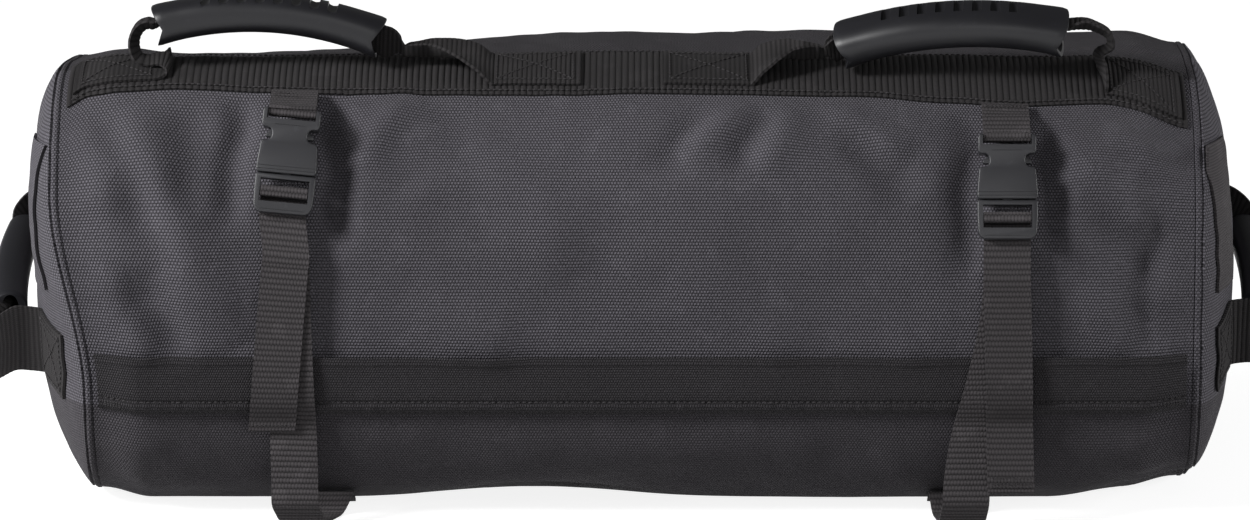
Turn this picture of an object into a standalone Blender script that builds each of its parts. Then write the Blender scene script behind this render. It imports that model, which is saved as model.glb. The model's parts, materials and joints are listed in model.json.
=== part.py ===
"""Sandbag trainer: a filled duffel-style lifting bag with grips, webbing, zip and strap buckles.

Metres, +Z up. The bag lies along X on its underside, its front faces -Y, and the
origin is at the middle of its footprint, on the floor.
"""

import bisect
from math import atan2, cos, pi, radians, sin

import bmesh
import bpy
from mathutils import Matrix, Vector

# Driving sizes of the bag
PANEL_LENGTH = 0.596            # between the two end seams
BAG_DEPTH = 0.244
BAG_HEIGHT = 0.244
SECTION_SQUARENESS = 2.8        # power of the rounded-square section
FLOOR_PRESS = 0.005             # how far the filled bag is pressed flat by the floor
END_BULGE = 0.0225              # how far the filled ends swell past their seams
SEAM_DRAW_IN = 0.005            # how far the ends of the tube are drawn in at the seams
DRAW_IN_LENGTH = 0.028
SHARP_ANGLE = radians(40.0)
LEFT_SLUMP = 0.013              # how much lower the top lies at the left, behind the band
SLUMP_LENGTH = 0.23
SLUMP_FRONT = 0.075             # how far in front of the middle that starts
SLUMP_REACH = 0.135
# How far the cloth has slid up its shoulder at places along the bag
SLIDES = ((-0.298, -0.008), (-0.284, 0.001), (-0.240, 0.005), (-0.180, 0.001), (0.0, 0.0),
          (0.120, -0.003), (0.165, -0.008), (0.205, -0.012), (0.250, -0.010), (0.298, -0.026))
SLIDE_REACH = 0.090
BULGE_POWER = 2.6               # shape of the filled ends, from seam to middle
BULGE_FULLNESS = 0.8
END_CROWDING = 0.25             # how much closer together the cells lie near the ends
FABRIC = 0.0015
GAP = 0.0003                    # between pieces that touch
EASE = 0.0006                   # air under what lies on the rounded cloth
OVERRUN = 0.002                 # how far a cutter runs past what it cuts

# Seams and binding
BINDING_RADIUS = 0.0018
END_SEAM_X = PANEL_LENGTH / 2 + 2 * BINDING_RADIUS + 2 * GAP

# Webbing
WEB = 0.0016
BAND_WIDTH = 0.050
HANDLE_WEB_WIDTH = 0.038
STRAP_WIDTH = 0.025
STRAP = 0.0013

# Heights above the floor of what is sewn to the front
BAND_LOWER_HEIGHT = 0.2295
FLAP_SEAM_HEIGHT = 0.059
FLAP_EDGE_HEIGHT = 0.096
ZIP_HEIGHT = 0.080

# Flap and zip
FLAP_STAND_OFF = 0.0040         # of the flap's free edge from the panel
FLAP_END_MARGIN = 0.009
ZIP_END_MARGIN = 0.038          # from the zip's ends to the ends of the panel
ZIP_LENGTH = PANEL_LENGTH - 2 * ZIP_END_MARGIN
ZIP_SLIT_MARGIN = 0.007
ZIP_SLIT_HEIGHT = 0.0150
TAPE_HEIGHT = 0.0090
TAPE = 0.0008
COIL_HEIGHT = 0.0026
COIL_DEPTH = 0.0024
COIL_SPLIT = 0.0022             # between the two rows of coil, for the slider's post
ZIP_SET_IN = 0.0011             # of the tapes behind the slit cloth
SLIDER_LENGTH = 0.0120
SLIDER_HEIGHT = 0.0105
SLIDER_PLATE = 0.0012
SLIDER_POST = 0.0014
PULLER_LENGTH = 0.024
PULLER_WIDTH = 0.0065
PULLER = 0.0010
BAIL_HEIGHT = 0.0016
STOP_LENGTH = 0.0040

# Filler bags and their sand
FILLER_COUNT = 3
FILLER_CLEARANCE = 0.006
FILLER_FABRIC = 0.0010
FILLER_SQUARENESS = 4.0
FILLER_DEPTH_SHARE = 0.80       # of the room inside the bag
FILLER_HEIGHT_SHARE = 0.76
MOUTH_LENGTH = 0.110
SAND_LEVEL_DROP = 0.012
CLOSURE_HEIGHT = 0.0100
CLOSURE = 0.0030
CLOSURE_SEAT = 0.0030           # how far a closure reaches down into the mouth

# Top handles
GRIP_LENGTH = 0.124
GRIP_HEIGHT = 0.0205
GRIP_DEPTH = 0.027
GRIP_ARCH = 0.0105
GRIP_END_CUT = 0.0050
GRIP_SQUARENESS = 2.6
BORE_WIDTH = 0.0150
BORE_THICKNESS = 0.0070
NOTCH_COUNT = 8
NOTCH_PITCH = 0.0096
NOTCH_LENGTH = 0.0048
NOTCH_DEPTH = 0.0032
GRIP_INSET_LEFT = 0.1010        # of a grip's middle from its end of the panel
GRIP_INSET_RIGHT = 0.1275
GRIP_X_LEFT = GRIP_INSET_LEFT - PANEL_LENGTH / 2
GRIP_X_RIGHT = PANEL_LENGTH / 2 - GRIP_INSET_RIGHT
GRIP_STAND_LEFT = 0.0110        # from the swing axis to the middle of the grip's ends
GRIP_STAND_RIGHT = 0.0115
GRIP_TILT_LEFT = radians(3.3)
GRIP_TILT_RIGHT = radians(-6.5)
GRIP_FALL_LEFT = 0.0            # how far a grip at rest has fallen forward
GRIP_FALL_RIGHT = radians(30.0)
PINCH_HEIGHT = 0.0085           # of the swing axis above the sewn webbing
PINCH_WIDTH = 0.0080
OUTER_PINCH_WIDTH = 0.0068      # of the sewn webbing under the outer end of a grip
PINCH_REACH = 0.0130            # from a grip's end to the pinch in its webbing
OUTER_SEWN_INSET = 0.0460       # of the outer sewn lines from the ends of the panel
INNER_RUN_LEFT = 0.1200         # from a grip's middle to its inner sewn line
INNER_RUN_RIGHT = 0.1075
OUTER_SEWN_X = PANEL_LENGTH / 2 - OUTER_SEWN_INSET
INNER_SEWN_X_LEFT = GRIP_X_LEFT + INNER_RUN_LEFT
INNER_SEWN_X_RIGHT = GRIP_X_RIGHT - INNER_RUN_RIGHT
OUTER_PATCH_LENGTH = 0.0400
INNER_PATCH_LENGTH = 0.0480
ROLLED_WIDTH = 0.0130           # of the webbing where it is folded into a grip
ROLLED = 0.0024
BORE_REACH = 0.0200
NARROWING = 1.5                 # how soon a rising run narrows to its pinch
LETTING_GO = 3.0                # how soon a rising run leaves the band
BORED_NARROWING = 2.0           # how soon rolled webbing narrows outside its grip
ROLL_TURN = 0.0070              # radius of the webbing's turn beside a grip
FOLD_SWELL = 0.0035             # how far a sewn run bows on its way up to its pinch
FOLD_TURN = 0.0024              # radius of a sewn run that turns back over its own patch
END_CUT_POWER = 6               # how close to its ends a grip's V-cut stays
BAND_END_MARGIN = 0.0030

# End handles
END_GRIP_LENGTH = 0.104
END_GRIP_RADIUS = 0.0098
END_GRIP_ARCH = 0.0030
END_HANDLE_TILT = radians(13.0)
END_HANDLE_HEIGHT = 0.117
END_HANDLE_SPREAD = 0.148       # between the two sewn lines
END_HANDLE_BACK_SET = 0.004     # how far the handle sits behind the middle of the end
END_HANDLE_REACH = 0.0105       # from the swing axis to the grip's centre
END_PINCH_LIFT = 0.0075         # of the swing axis above the cloth at the sewn lines
END_PINCH_REACH = 0.0080
END_PINCH_WIDTH = 0.0160
END_ROLL_TURN = 0.0060
END_PATCH_LENGTH = 0.0340
END_BAND_WIDTH = 0.034
END_BAND_TOP = 0.205
END_BAND_START = 0.0095         # of the strip's lower end above the handle's middle

# Strap buckles
BUCKLE_INSET_LEFT = 0.1130      # of a buckle from its end of the panel
BUCKLE_INSET_RIGHT = 0.1005
BUCKLE_X_LEFT = BUCKLE_INSET_LEFT - PANEL_LENGTH / 2
BUCKLE_X_RIGHT = PANEL_LENGTH / 2 - BUCKLE_INSET_RIGHT
BUCKLE_TURN_LEFT = radians(5.5)
BUCKLE_TURN_RIGHT = radians(0.0)
BUCKLE_HEIGHT_LEFT = 0.1905     # of the line where plug meets socket
BUCKLE_HEIGHT_RIGHT = 0.179
BUCKLE_LEAN = radians(21.0)     # of the buckle's face from upright
BUCKLE_STAND_OFF = 0.0078       # of the buckle's mid plane from the panel
BUCKLE_WIDTH = 0.0320
SOCKET = 0.0096
SOCKET_RIM = 0.0170
WAIST_LENGTH = 0.0075
WAIST_WIDTH = 0.0190
FLANGE_LENGTH = 0.0045
SLOT_LENGTH = 0.0034
BAR_LENGTH = 0.0026
BAR = 0.0036
POST_WIDTH = 0.0030
CORNER_CUT = 0.0015
POCKET_DEPTH = 0.0246
POCKET_WIDTH = 0.0230
POCKET = 0.0052
PLUG = 0.0056
PLUG_TOP_RAIL = 0.0030
PLUG_UPPER_SLOT = 0.0052
PLUG_MIDDLE_BAR = 0.0030
PLUG_LOWER_SLOT = 0.0042
PLUG_LOWER_BAR = 0.0058
TONGUE_WIDTH = 0.0050
TONGUE_LENGTH = 0.0205
ARM_THICKNESS = 0.0044
ARM_WIDTH = 0.0022
ARM_ROOT = 0.0072               # from the buckle's middle to the arm's inner side
BARB_LENGTH = 0.0046
BARB_REACH = 0.0132
BARB_CLEARANCE = 0.0006
ARM_STAND = 0.0010              # arm's foot above the plug's rail

# Straps
TAIL_END_LEFT = 0.055           # height of the free tail's hem
TAIL_END_RIGHT = 0.021
TAIL_DRIFT_LEFT = -0.009
TAIL_DRIFT_RIGHT = 0.004
RUN_DRIFT_LEFT = 0.003
RUN_DRIFT_RIGHT = -0.020
LOOP_DRIFT_LEFT = 0.018
LOOP_DRIFT_RIGHT = -0.006
STRAP_LAYER = 0.0005            # air between the layers of a strap
STRAP_SLACK = 0.0010            # of a strap off the flap, and of a tab off the panel
TAB_BOW = 0.0035                # how far a tab bows off the panel between band and buckle
TAB_ROOM = 0.0080               # between band and buckle, for a tab to bow
DROP_BELOW_PLUG = 0.0380        # where the strap has come back to the panel
FOLD_HEIGHT = 0.0140            # where the strap turns in below the front
LOOP_FRONT = 0.1080             # from the bag's middle to the front of the loop on the floor
ANCHOR_LENGTH = 0.012
ANCHOR_LEAD = 0.0080            # of strap against the panel in front of its anchor
ANCHOR_HEIGHT = 0.0100          # of its front edge above the floor

# Number of cells along each form
GIRTH_COUNT = 44
LENGTH_COUNT = 14
END_COUNT = 10
GIRTH_STEP_COUNT = 720
RISE_COUNT = 6
PATCH_ROW_COUNT = 4
END_BAND_COUNT = (3, 6)
GRIP_COUNT = (12, 16)
END_GRIP_COUNT = (8, 14)
PILLOW_CUT_COUNT = 3
FLAP_ROW_SHARES = (0.25, 0.5)
STRAP_TURN_COUNT = 2
LOOP_COUNT = 4
END_PATCH_COUNT = 8
TURN_COUNT = 3
TAIL_COUNT = 12
RUN_COUNT = 14

HALF_DEPTH = BAG_DEPTH / 2
HALF_HEIGHT = BAG_HEIGHT / 2
MIDDLE = HALF_HEIGHT
HALF_PANEL = PANEL_LENGTH / 2
MERGE = GAP / 10
END_SHRINK = 1.0 - (SEAM_DRAW_IN + FABRIC) / HALF_HEIGHT
MOUTH_WIDTH = CLOSURE + 2 * GAP


def clear_scene():
    """Remove what the file holds, and give the part and its cutters a collection each."""
    for thing in list(bpy.data.objects):
        bpy.data.objects.remove(thing, do_unlink=True)
    collections = []
    for name in ("sandbag_trainer", "cutters"):
        collection = bpy.data.collections.new(name)
        bpy.context.scene.collection.children.link(collection)
        collections.append(collection)
    return collections


PARTS, CUTTERS = clear_scene()


def material(name, colour, roughness):
    """A plain plastic or cloth finish."""
    made = bpy.data.materials.get(name)
    if made is None:
        made = bpy.data.materials.new(name)
        made.use_nodes = True
        shader = made.node_tree.nodes["Principled BSDF"]
        shader.inputs["Base Color"].default_value = (*colour, 1.0)
        shader.inputs["Roughness"].default_value = roughness
    return made


def bag_cloth(name):
    return material(name + "_cloth", (0.040, 0.038, 0.043), 0.85)


def webbing_cloth(name):
    return material(name + "_webbing", (0.030, 0.028, 0.028), 0.80)


def moulded_plastic(name):
    return material(name + "_plastic", (0.050, 0.050, 0.055), 0.45)


def smooth_step(share):
    share = min(1.0, max(0.0, share))
    return share * share * (3.0 - 2.0 * share)


def section_point(angle):
    """Point of the bag's section, seen from its middle, the angle rising from the front."""
    height = HALF_HEIGHT + (FLOOR_PRESS if sin(angle) < 0 else 0.0)
    across = (abs(cos(angle)) / HALF_DEPTH) ** SECTION_SQUARENESS
    upward = (abs(sin(angle)) / height) ** SECTION_SQUARENESS
    radius = (across + upward) ** (-1.0 / SECTION_SQUARENESS)
    return -radius * cos(angle), radius * sin(angle)


def girth_table():
    """Distance round the section from the middle of the front, for each angle."""
    angles = [pi * step / GIRTH_STEP_COUNT for step in range(-GIRTH_STEP_COUNT, GIRTH_STEP_COUNT + 1)]
    points = [Vector(section_point(angle)) for angle in angles]
    distances = [0.0]
    for before, after in zip(points, points[1:]):
        distances.append(distances[-1] + (after - before).length)
    front = distances[GIRTH_STEP_COUNT]
    return angles, [distance - front for distance in distances]


ANGLES, GIRTHS = girth_table()
FULL_GIRTH = GIRTHS[-1] - GIRTHS[0]


def girth_angle(girth):
    after = min(len(GIRTHS) - 1, max(1, bisect.bisect_left(GIRTHS, girth)))
    share = (girth - GIRTHS[after - 1]) / (GIRTHS[after] - GIRTHS[after - 1])
    return ANGLES[after - 1] + share * (ANGLES[after] - ANGLES[after - 1])


def girth_at_height(height):
    """Distance round the section at a height above the floor, on the front."""
    low, high = GIRTH_STEP_COUNT // 2, GIRTH_STEP_COUNT + GIRTH_STEP_COUNT // 2
    heights = [section_point(angle)[1] + MIDDLE for angle in ANGLES[low:high]]
    return GIRTHS[low + bisect.bisect_left(heights, height)]


def section_normal(angle):
    """Outward direction of the section at an angle, across and up."""
    step = pi / GIRTH_STEP_COUNT
    before = Vector(section_point(angle - step))
    after = Vector(section_point(angle + step))
    along = (after - before).normalized()
    return Vector((-along.y, along.x))


def lengthwise(share):
    """Spread points along the bag from -1 to 1, closer together towards its ends."""
    return share * (1.0 + END_CROWDING * (1.0 - share * share))


PANEL_XS = [HALF_PANEL * lengthwise(2.0 * step / LENGTH_COUNT - 1.0) for step in range(LENGTH_COUNT + 1)]
PANEL_GIRTHS = [GIRTHS[0] + FULL_GIRTH * step / GIRTH_COUNT for step in range(GIRTH_COUNT + 1)]
BAND_GIRTH = girth_at_height(BAND_LOWER_HEIGHT) + BAND_WIDTH / 2


def slide(x):
    """How far the cloth has slid up its shoulder at a place along the bag."""
    for (low, first), (high, last) in zip(SLIDES, SLIDES[1:]):
        if x <= high:
            return between(first, last, smooth_step((x - low) / (high - low)))
    return SLIDES[-1][1]


def slump(share, y, z):
    """How much lower the filling has left the top at a place seen from the section's middle."""
    return LEFT_SLUMP * share * max(0.0, z / HALF_HEIGHT) * smooth_step((y + SLUMP_FRONT) / SLUMP_REACH)


def form_point(x, girth, lift):
    """Point over the bag's rounded form, lifted off it along its normal."""
    slid = slide(x) * smooth_step(1.0 - abs(girth - BAND_GIRTH) / SLIDE_REACH)
    angle = girth_angle(girth + slid)
    y, z = section_point(angle)
    normal = section_normal(angle)
    drawn = SEAM_DRAW_IN * smooth_step((abs(x) - HALF_PANEL + DRAW_IN_LENGTH) / DRAW_IN_LENGTH)
    lowered = slump(smooth_step(-x / SLUMP_LENGTH), y, z)
    shrink = 1.0 - drawn / HALF_HEIGHT
    y = y * shrink + normal.x * lift
    z = z * shrink - lowered + normal.y * lift
    return Vector((x, y, max(MIDDLE + z, 0.0 if lift <= 0.0 else lift)))


def cell_of(grid, value):
    """Which cell of a grid a value falls in, and how far across that cell."""
    cell = min(len(grid) - 2, max(0, bisect.bisect_right(grid, value) - 1))
    return cell, (value - grid[cell]) / (grid[cell + 1] - grid[cell])


def surface_point(x, girth, lift=0.0):
    """Point on the flat cells of the bag's cloth, or on the same cells lifted off it."""
    column, across = cell_of(PANEL_XS, x)
    row, up = cell_of(PANEL_GIRTHS, girth)
    left, right = PANEL_XS[column], PANEL_XS[column + 1]
    low, high = PANEL_GIRTHS[row], PANEL_GIRTHS[row + 1]
    lower = form_point(left, low, lift).lerp(form_point(right, low, lift), across)
    upper = form_point(left, high, lift).lerp(form_point(right, high, lift), across)
    return lower.lerp(upper, up)


def end_x(y, z):
    """How far out an end panel's cloth lies at a place given from the section's middle."""
    edge = Vector(section_point(atan2(z, -y))) * END_SHRINK
    share = min(1.0, Vector((y, z)).length / edge.length)
    return END_SEAM_X + FABRIC + END_BULGE * (1.0 - share ** BULGE_POWER) ** BULGE_FULLNESS


def add_object(name, mesh, look, parent=None, collection=None):
    made = bpy.data.objects.new(name, mesh)
    (collection or PARTS).objects.link(made)
    if look is not None:
        mesh.materials.append(look)
    if parent is not None:
        made.parent = parent
    return made


def mesh_from(bm, name, smooth=True):
    mesh = bpy.data.meshes.new(name)
    bm.to_mesh(mesh)
    bm.free()
    if smooth:
        mesh.shade_smooth()
        mesh.set_sharp_from_angle(angle=SHARP_ANGLE)
    return mesh


def thicken(made, thickness, side):
    """Give an open sheet its thickness: side 1 is outward, -1 inward, 0 both ways."""
    wall = made.modifiers.new("thickness", "SOLIDIFY")
    wall.thickness = thickness
    wall.offset = side
    return wall


def cut(target, cutter, operation="DIFFERENCE"):
    cutting = target.modifiers.new(cutter.name, "BOOLEAN")
    cutting.object = cutter
    cutting.operation = operation
    cutting.solver = "EXACT"
    cutter.hide_render = True
    cutter.display_type = "WIRE"


def box_mesh(name, size, centre):
    bm = bmesh.new()
    bmesh.ops.create_cube(bm, size=1.0)
    for vertex in bm.verts:
        vertex.co = Vector(a * b + c for a, b, c in zip(vertex.co, size, centre))
    return mesh_from(bm, name, smooth=False)


def box(name, size, centre, look, parent=None):
    return add_object(name, box_mesh(name, size, centre), look, parent)


def cutter_boxes(name, boxes, parent):
    """One cutter made of separate boxes, each a size and a centre."""
    bm = bmesh.new()
    for size, centre in boxes:
        made = bmesh.ops.create_cube(bm, size=1.0)["verts"]
        for vertex in made:
            vertex.co = Vector(a * b + c for a, b, c in zip(vertex.co, size, centre))
    return add_object(name, mesh_from(bm, name, smooth=False), None, parent, CUTTERS)


def sheet(name, cells, place, thickness, side, look, parent=None):
    """A flat grid, each of its points moved by place(across, up), both from 0 to 1."""
    bm = bmesh.new()
    bmesh.ops.create_grid(bm, x_segments=cells[0], y_segments=cells[1], size=0.5)
    for vertex in bm.verts:
        vertex.co = place(vertex.co.x + 0.5, vertex.co.y + 0.5)
    made = add_object(name, mesh_from(bm, name), look, parent)
    thicken(made, thickness, side)
    return made


def between(low, high, share):
    return low + (high - low) * share


def stops(low, high, grid, extra=()):
    """The two ends of a range, and every line of a grid that lies well inside it."""
    margin = 4 * GAP
    inside = [value for value in list(grid) + list(extra) if low + margin < value < high - margin]
    spaced = [low]
    for value in sorted(inside) + [high]:
        if value - spaced[-1] > GAP:
            spaced.append(value)
    return spaced


def surface_sheet(name, x_range, girth_range, lift, thickness, look, shares=()):
    """A piece of cloth or webbing laid on the cells of the tube, with more rows at the given shares."""
    xs = stops(*x_range, PANEL_XS)
    girths = stops(*girth_range, PANEL_GIRTHS, [between(*girth_range, share) for share in shares])

    def place(across, up):
        x = xs[round(across * (len(xs) - 1))]
        girth = girths[round(up * (len(girths) - 1))]
        share = (girth - girths[0]) / (girths[-1] - girths[0])
        height = lift(share) if callable(lift) else lift
        return surface_point(x, girth, height)
    return sheet(name, (len(xs) - 1, len(girths) - 1), place, thickness, 1.0, look, BAG)


def ribbon(name, stations, thickness, look, parent=None, cells=2):
    """Webbing along stations, each its centre, its direction across and its width."""
    count = len(stations) - 1

    def place(along, across):
        centre, side, width = stations[round(along * count)]
        return centre + side * (width * (across - 0.5))
    return sheet(name, (count, cells), place, thickness, 0.0, look, parent)


def rounded_path(corners, radius, steps):
    """Points along straight runs whose corners are turned on arcs of one radius."""
    points = [corners[0]]
    for before, corner, after in zip(corners, corners[1:], corners[2:]):
        back = (before - corner).normalized()
        on = (after - corner).normalized()
        reach = min(radius, (before - corner).length / 2, (after - corner).length / 2)
        start, end = corner + back * reach, corner + on * reach
        for step in range(steps + 1):
            share = step / steps
            points.append(start * (1 - share) ** 2 + corner * 2 * share * (1 - share) + end * share ** 2)
    points.append(corners[-1])
    spaced = [points[0]]
    for point in points[1:]:
        if (point - spaced[-1]).length > GAP:
            spaced.append(point)
    return spaced


def empty(name, location, rotation=(0.0, 0.0, 0.0), parent=None):
    made = bpy.data.objects.new(name, None)
    PARTS.objects.link(made)
    made.location = location
    made.rotation_euler = rotation
    made.parent = parent
    return made


BAG = empty("bag_frame", (0.0, 0.0, 0.0))


def make_main_panel(zip_frame):
    """The tube of cloth that wraps round the fillers, slit for the zip."""
    bm = bmesh.new()
    bmesh.ops.create_grid(bm, x_segments=LENGTH_COUNT, y_segments=GIRTH_COUNT, size=0.5)
    for vertex in bm.verts:
        column = round((vertex.co.x + 0.5) * LENGTH_COUNT)
        row = round((vertex.co.y + 0.5) * GIRTH_COUNT)
        vertex.co = form_point(PANEL_XS[column], PANEL_GIRTHS[row], 0.0)
    bmesh.ops.remove_doubles(bm, verts=bm.verts, dist=MERGE)
    panel = add_object("main_panel", mesh_from(bm, "main_panel"), bag_cloth("main_panel"), BAG)
    thicken(panel, FABRIC, -1.0)
    slit_size = (ZIP_LENGTH + 2 * ZIP_SLIT_MARGIN, BAG_DEPTH / 8, ZIP_SLIT_HEIGHT)
    slit = cutter_boxes("zip_slit_cutter", [(slit_size, (0.0, 0.0, 0.0))], zip_frame)
    cut(panel, slit)


def make_end(side, word):
    """An end panel, the binding of its seam, and the webbing strip down it."""
    bm = bmesh.new()
    bmesh.ops.create_grid(bm, x_segments=END_COUNT, y_segments=END_COUNT, size=1.0)
    for vertex in bm.verts:
        across, up = vertex.co.x, vertex.co.y
        share = max(abs(across), abs(up))
        angle = atan2(up, -across)
        y, z = section_point(angle)
        y, z = y * share * END_SHRINK, z * share * END_SHRINK
        height = max(FABRIC, MIDDLE + z - slump(side < 0, y, z))
        vertex.co = Vector((side * (end_x(y, z) - FABRIC), y, height))
    if side < 0:
        bmesh.ops.reverse_faces(bm, faces=bm.faces)
    name = "end_panel_" + word
    panel = add_object(name, mesh_from(bm, name), bag_cloth(name), BAG)
    thicken(panel, FABRIC, 1.0)

    seam = bpy.data.curves.new("end_binding_" + word, "CURVE")
    seam.dimensions = "3D"
    seam.bevel_depth = BINDING_RADIUS
    seam.bevel_resolution = 1
    line = seam.splines.new("POLY")
    line.points.add(GIRTH_COUNT - 1)
    for step, point in enumerate(line.points):
        place = surface_point(side * HALF_PANEL, GIRTHS[0] + FULL_GIRTH * step / GIRTH_COUNT, -BINDING_RADIUS)
        place.x = side * (HALF_PANEL + BINDING_RADIUS + GAP)
        place.z = max(place.z, BINDING_RADIUS)
        point.co = (*place, 1.0)
    line.use_cyclic_u = True
    binding = bpy.data.objects.new("end_binding_" + word, seam)
    PARTS.objects.link(binding)
    seam.materials.append(webbing_cloth("end_binding_" + word))
    binding.parent = BAG

    middle_y = -END_HANDLE_SPREAD / 2 - END_PATCH_LENGTH / 2 + END_HANDLE_BACK_SET

    def place(across, up):
        y = middle_y + side * END_BAND_WIDTH * (across - 0.5)
        low = END_HANDLE_HEIGHT - MIDDLE + END_BAND_START
        z = between(low, END_BAND_TOP - MIDDLE, up)
        return Vector((side * (end_x(y, z) + EASE), y, MIDDLE + z - slump(side < 0, y, z)))
    sheet("end_band_" + word, END_BAND_COUNT, place, WEB, 1.0, webbing_cloth("end_band_" + word), BAG)


def make_band():
    """Wide webbing sewn along the upper front shoulder, which the top handles are sewn to."""
    reach = HALF_PANEL - BAND_END_MARGIN
    surface_sheet("top_band", (-reach, reach), (BAND_GIRTH - BAND_WIDTH / 2, BAND_GIRTH + BAND_WIDTH / 2),
                  EASE, WEB, webbing_cloth("top_band"))


def make_flap():
    """Storm flap over the zip, sewn along its lower edge, its upper edge free."""
    girths = (girth_at_height(FLAP_SEAM_HEIGHT), girth_at_height(FLAP_EDGE_HEIGHT))
    reach = HALF_PANEL - FLAP_END_MARGIN

    def lift(share):
        return EASE + (FLAP_STAND_OFF - EASE) * smooth_step(share * 2.0)
    surface_sheet("zip_flap", (-reach, reach), girths, lift, FABRIC, bag_cloth("zip_flap"), FLAP_ROW_SHARES)


def make_zip(frame):
    """Two tapes with their rows of coil, the slider on them, its pull tab and the end stops."""
    tape_level = FABRIC + ZIP_SET_IN + TAPE / 2
    coil_middle = COIL_SPLIT / 2 + COIL_HEIGHT / 2
    for up, word in ((1.0, "upper"), (-1.0, "lower")):
        name = "zip_tape_" + word
        inner_edge = COIL_SPLIT / 2 + COIL_HEIGHT / 2
        tape_up = up * (inner_edge + TAPE_HEIGHT / 2)
        tape_size = (ZIP_LENGTH, TAPE, TAPE_HEIGHT)
        tape = box(name, tape_size, (0.0, tape_level, tape_up), webbing_cloth(name), frame)
        coil_size = (ZIP_LENGTH, COIL_DEPTH, COIL_HEIGHT)
        coil = cutter_boxes(name + "_coil", [(coil_size, (0.0, tape_level, up * coil_middle))], frame)
        cut(tape, coil, "UNION")

    rest_x = ZIP_LENGTH / 2 - STOP_LENGTH - SLIDER_LENGTH
    carrier = empty("zip_slider_frame", (rest_x, 0.0, 0.0), parent=frame)
    outer_level = tape_level - COIL_DEPTH / 2 - GAP - SLIDER_PLATE / 2
    inner_level = tape_level + COIL_DEPTH / 2 + GAP + SLIDER_PLATE / 2
    plate = (SLIDER_LENGTH, SLIDER_PLATE, SLIDER_HEIGHT)
    slider = box("zip_slider", plate, (0.0, outer_level, 0.0), moulded_plastic("zip_slider"), carrier)
    post_depth = inner_level - outer_level
    bail_level = outer_level - SLIDER_PLATE / 2 - BAIL_HEIGHT / 2
    adds = [
        (plate, (0.0, inner_level, 0.0)),
        ((SLIDER_LENGTH / 2, post_depth, SLIDER_POST), (0.0, (outer_level + inner_level) / 2, 0.0)),
        ((SLIDER_PLATE, BAIL_HEIGHT + SLIDER_PLATE, SLIDER_PLATE), (0.0, bail_level, 0.0)),
    ]
    for number, (size, centre) in enumerate(adds):
        cut(slider, cutter_boxes("zip_slider_add_%d" % number, [(size, centre)], carrier), "UNION")

    pivot = empty("zip_puller_pivot", (0.0, 0.0, 0.0), parent=carrier)
    level = outer_level - SLIDER_PLATE / 2 - GAP - PULLER / 2
    reach = PULLER_LENGTH / 2 - PULLER_WIDTH / 2
    puller = box("zip_puller", (PULLER_LENGTH, PULLER, PULLER_WIDTH), (-reach, level, 0.0),
                 moulded_plastic("zip_puller"), pivot)
    eye = SLIDER_PLATE + 2 * GAP
    cut(puller, cutter_boxes("zip_puller_eye", [((eye, PULLER + OVERRUN, eye), (0.0, level, 0.0))], pivot))
    soften = puller.modifiers.new("rounded", "BEVEL")
    soften.width = PULLER / 4
    soften.segments = 1
    soften.limit_method = "ANGLE"

    for side, word in ((-1.0, "left"), (1.0, "right")):
        name = "zip_stop_" + word
        size = (STOP_LENGTH, SLIDER_PLATE, 2 * COIL_HEIGHT + COIL_SPLIT)
        level = tape_level - COIL_DEPTH / 2 - GAP - SLIDER_PLATE / 2
        box(name, size, (side * (ZIP_LENGTH / 2 - STOP_LENGTH / 2), level, 0.0), moulded_plastic(name), frame)


def pillow(bm, half, grow, top_drop=0.0):
    """Swell a subdivided cube into a stuffed pouch with the given half sizes."""
    made = bmesh.ops.create_cube(bm, size=2.0)["verts"]
    edges = [edge for edge in bm.edges if edge.verts[0] in made]
    bmesh.ops.subdivide_edges(bm, edges=edges, cuts=PILLOW_CUT_COUNT, use_grid_fill=True)
    for vertex in bm.verts:
        unit = vertex.co
        total = sum(abs(part) ** FILLER_SQUARENESS for part in unit) ** (1.0 / FILLER_SQUARENESS)
        place = Vector(part * size / total for part, size in zip(unit, half))
        place += place.normalized() * grow
        if place.z > 0.0:
            place.z -= top_drop * place.z / half[2]
        vertex.co = place


def make_fillers():
    """Inner bags of sand, each with a slit mouth closed by a pair of hook-and-loop strips."""
    length = (PANEL_LENGTH - (FILLER_COUNT + 1) * FILLER_CLEARANCE) / FILLER_COUNT
    inside = HALF_DEPTH - FABRIC - FILLER_CLEARANCE
    half = (length / 2, inside * FILLER_DEPTH_SHARE, inside * FILLER_HEIGHT_SHARE)
    for number in range(FILLER_COUNT):
        word = "_%d" % (number + 1)
        x = (number - (FILLER_COUNT - 1) / 2) * (length + FILLER_CLEARANCE)
        holder = empty("filler_frame" + word, (x, 0.0, FABRIC + EASE + half[2]), parent=BAG)
        bm = bmesh.new()
        pillow(bm, half, 0.0)
        pouch = add_object("filler_bag" + word, mesh_from(bm, "filler_bag" + word),
                           bag_cloth("filler_bag" + word), holder)
        thicken(pouch, FILLER_FABRIC, -1.0)
        mouth = [((MOUTH_LENGTH, MOUTH_WIDTH, half[2]), (0.0, 0.0, half[2]))]
        cut(pouch, cutter_boxes("mouth_cutter" + word, mouth, holder))
        bm = bmesh.new()
        pillow(bm, half, -FILLER_FABRIC - 3 * GAP, SAND_LEVEL_DROP)
        add_object("sand_fill" + word, mesh_from(bm, "sand_fill" + word),
                   material("sand_fill" + word, (0.55, 0.45, 0.32), 0.95), holder)
        top = half[2] + CLOSURE_HEIGHT / 2 - CLOSURE_SEAT
        box("filler_closure" + word, (MOUTH_LENGTH - 2 * GAP, CLOSURE, CLOSURE_HEIGHT),
            (0.0, 0.0, top), webbing_cloth("filler_closure" + word), holder)


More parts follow.
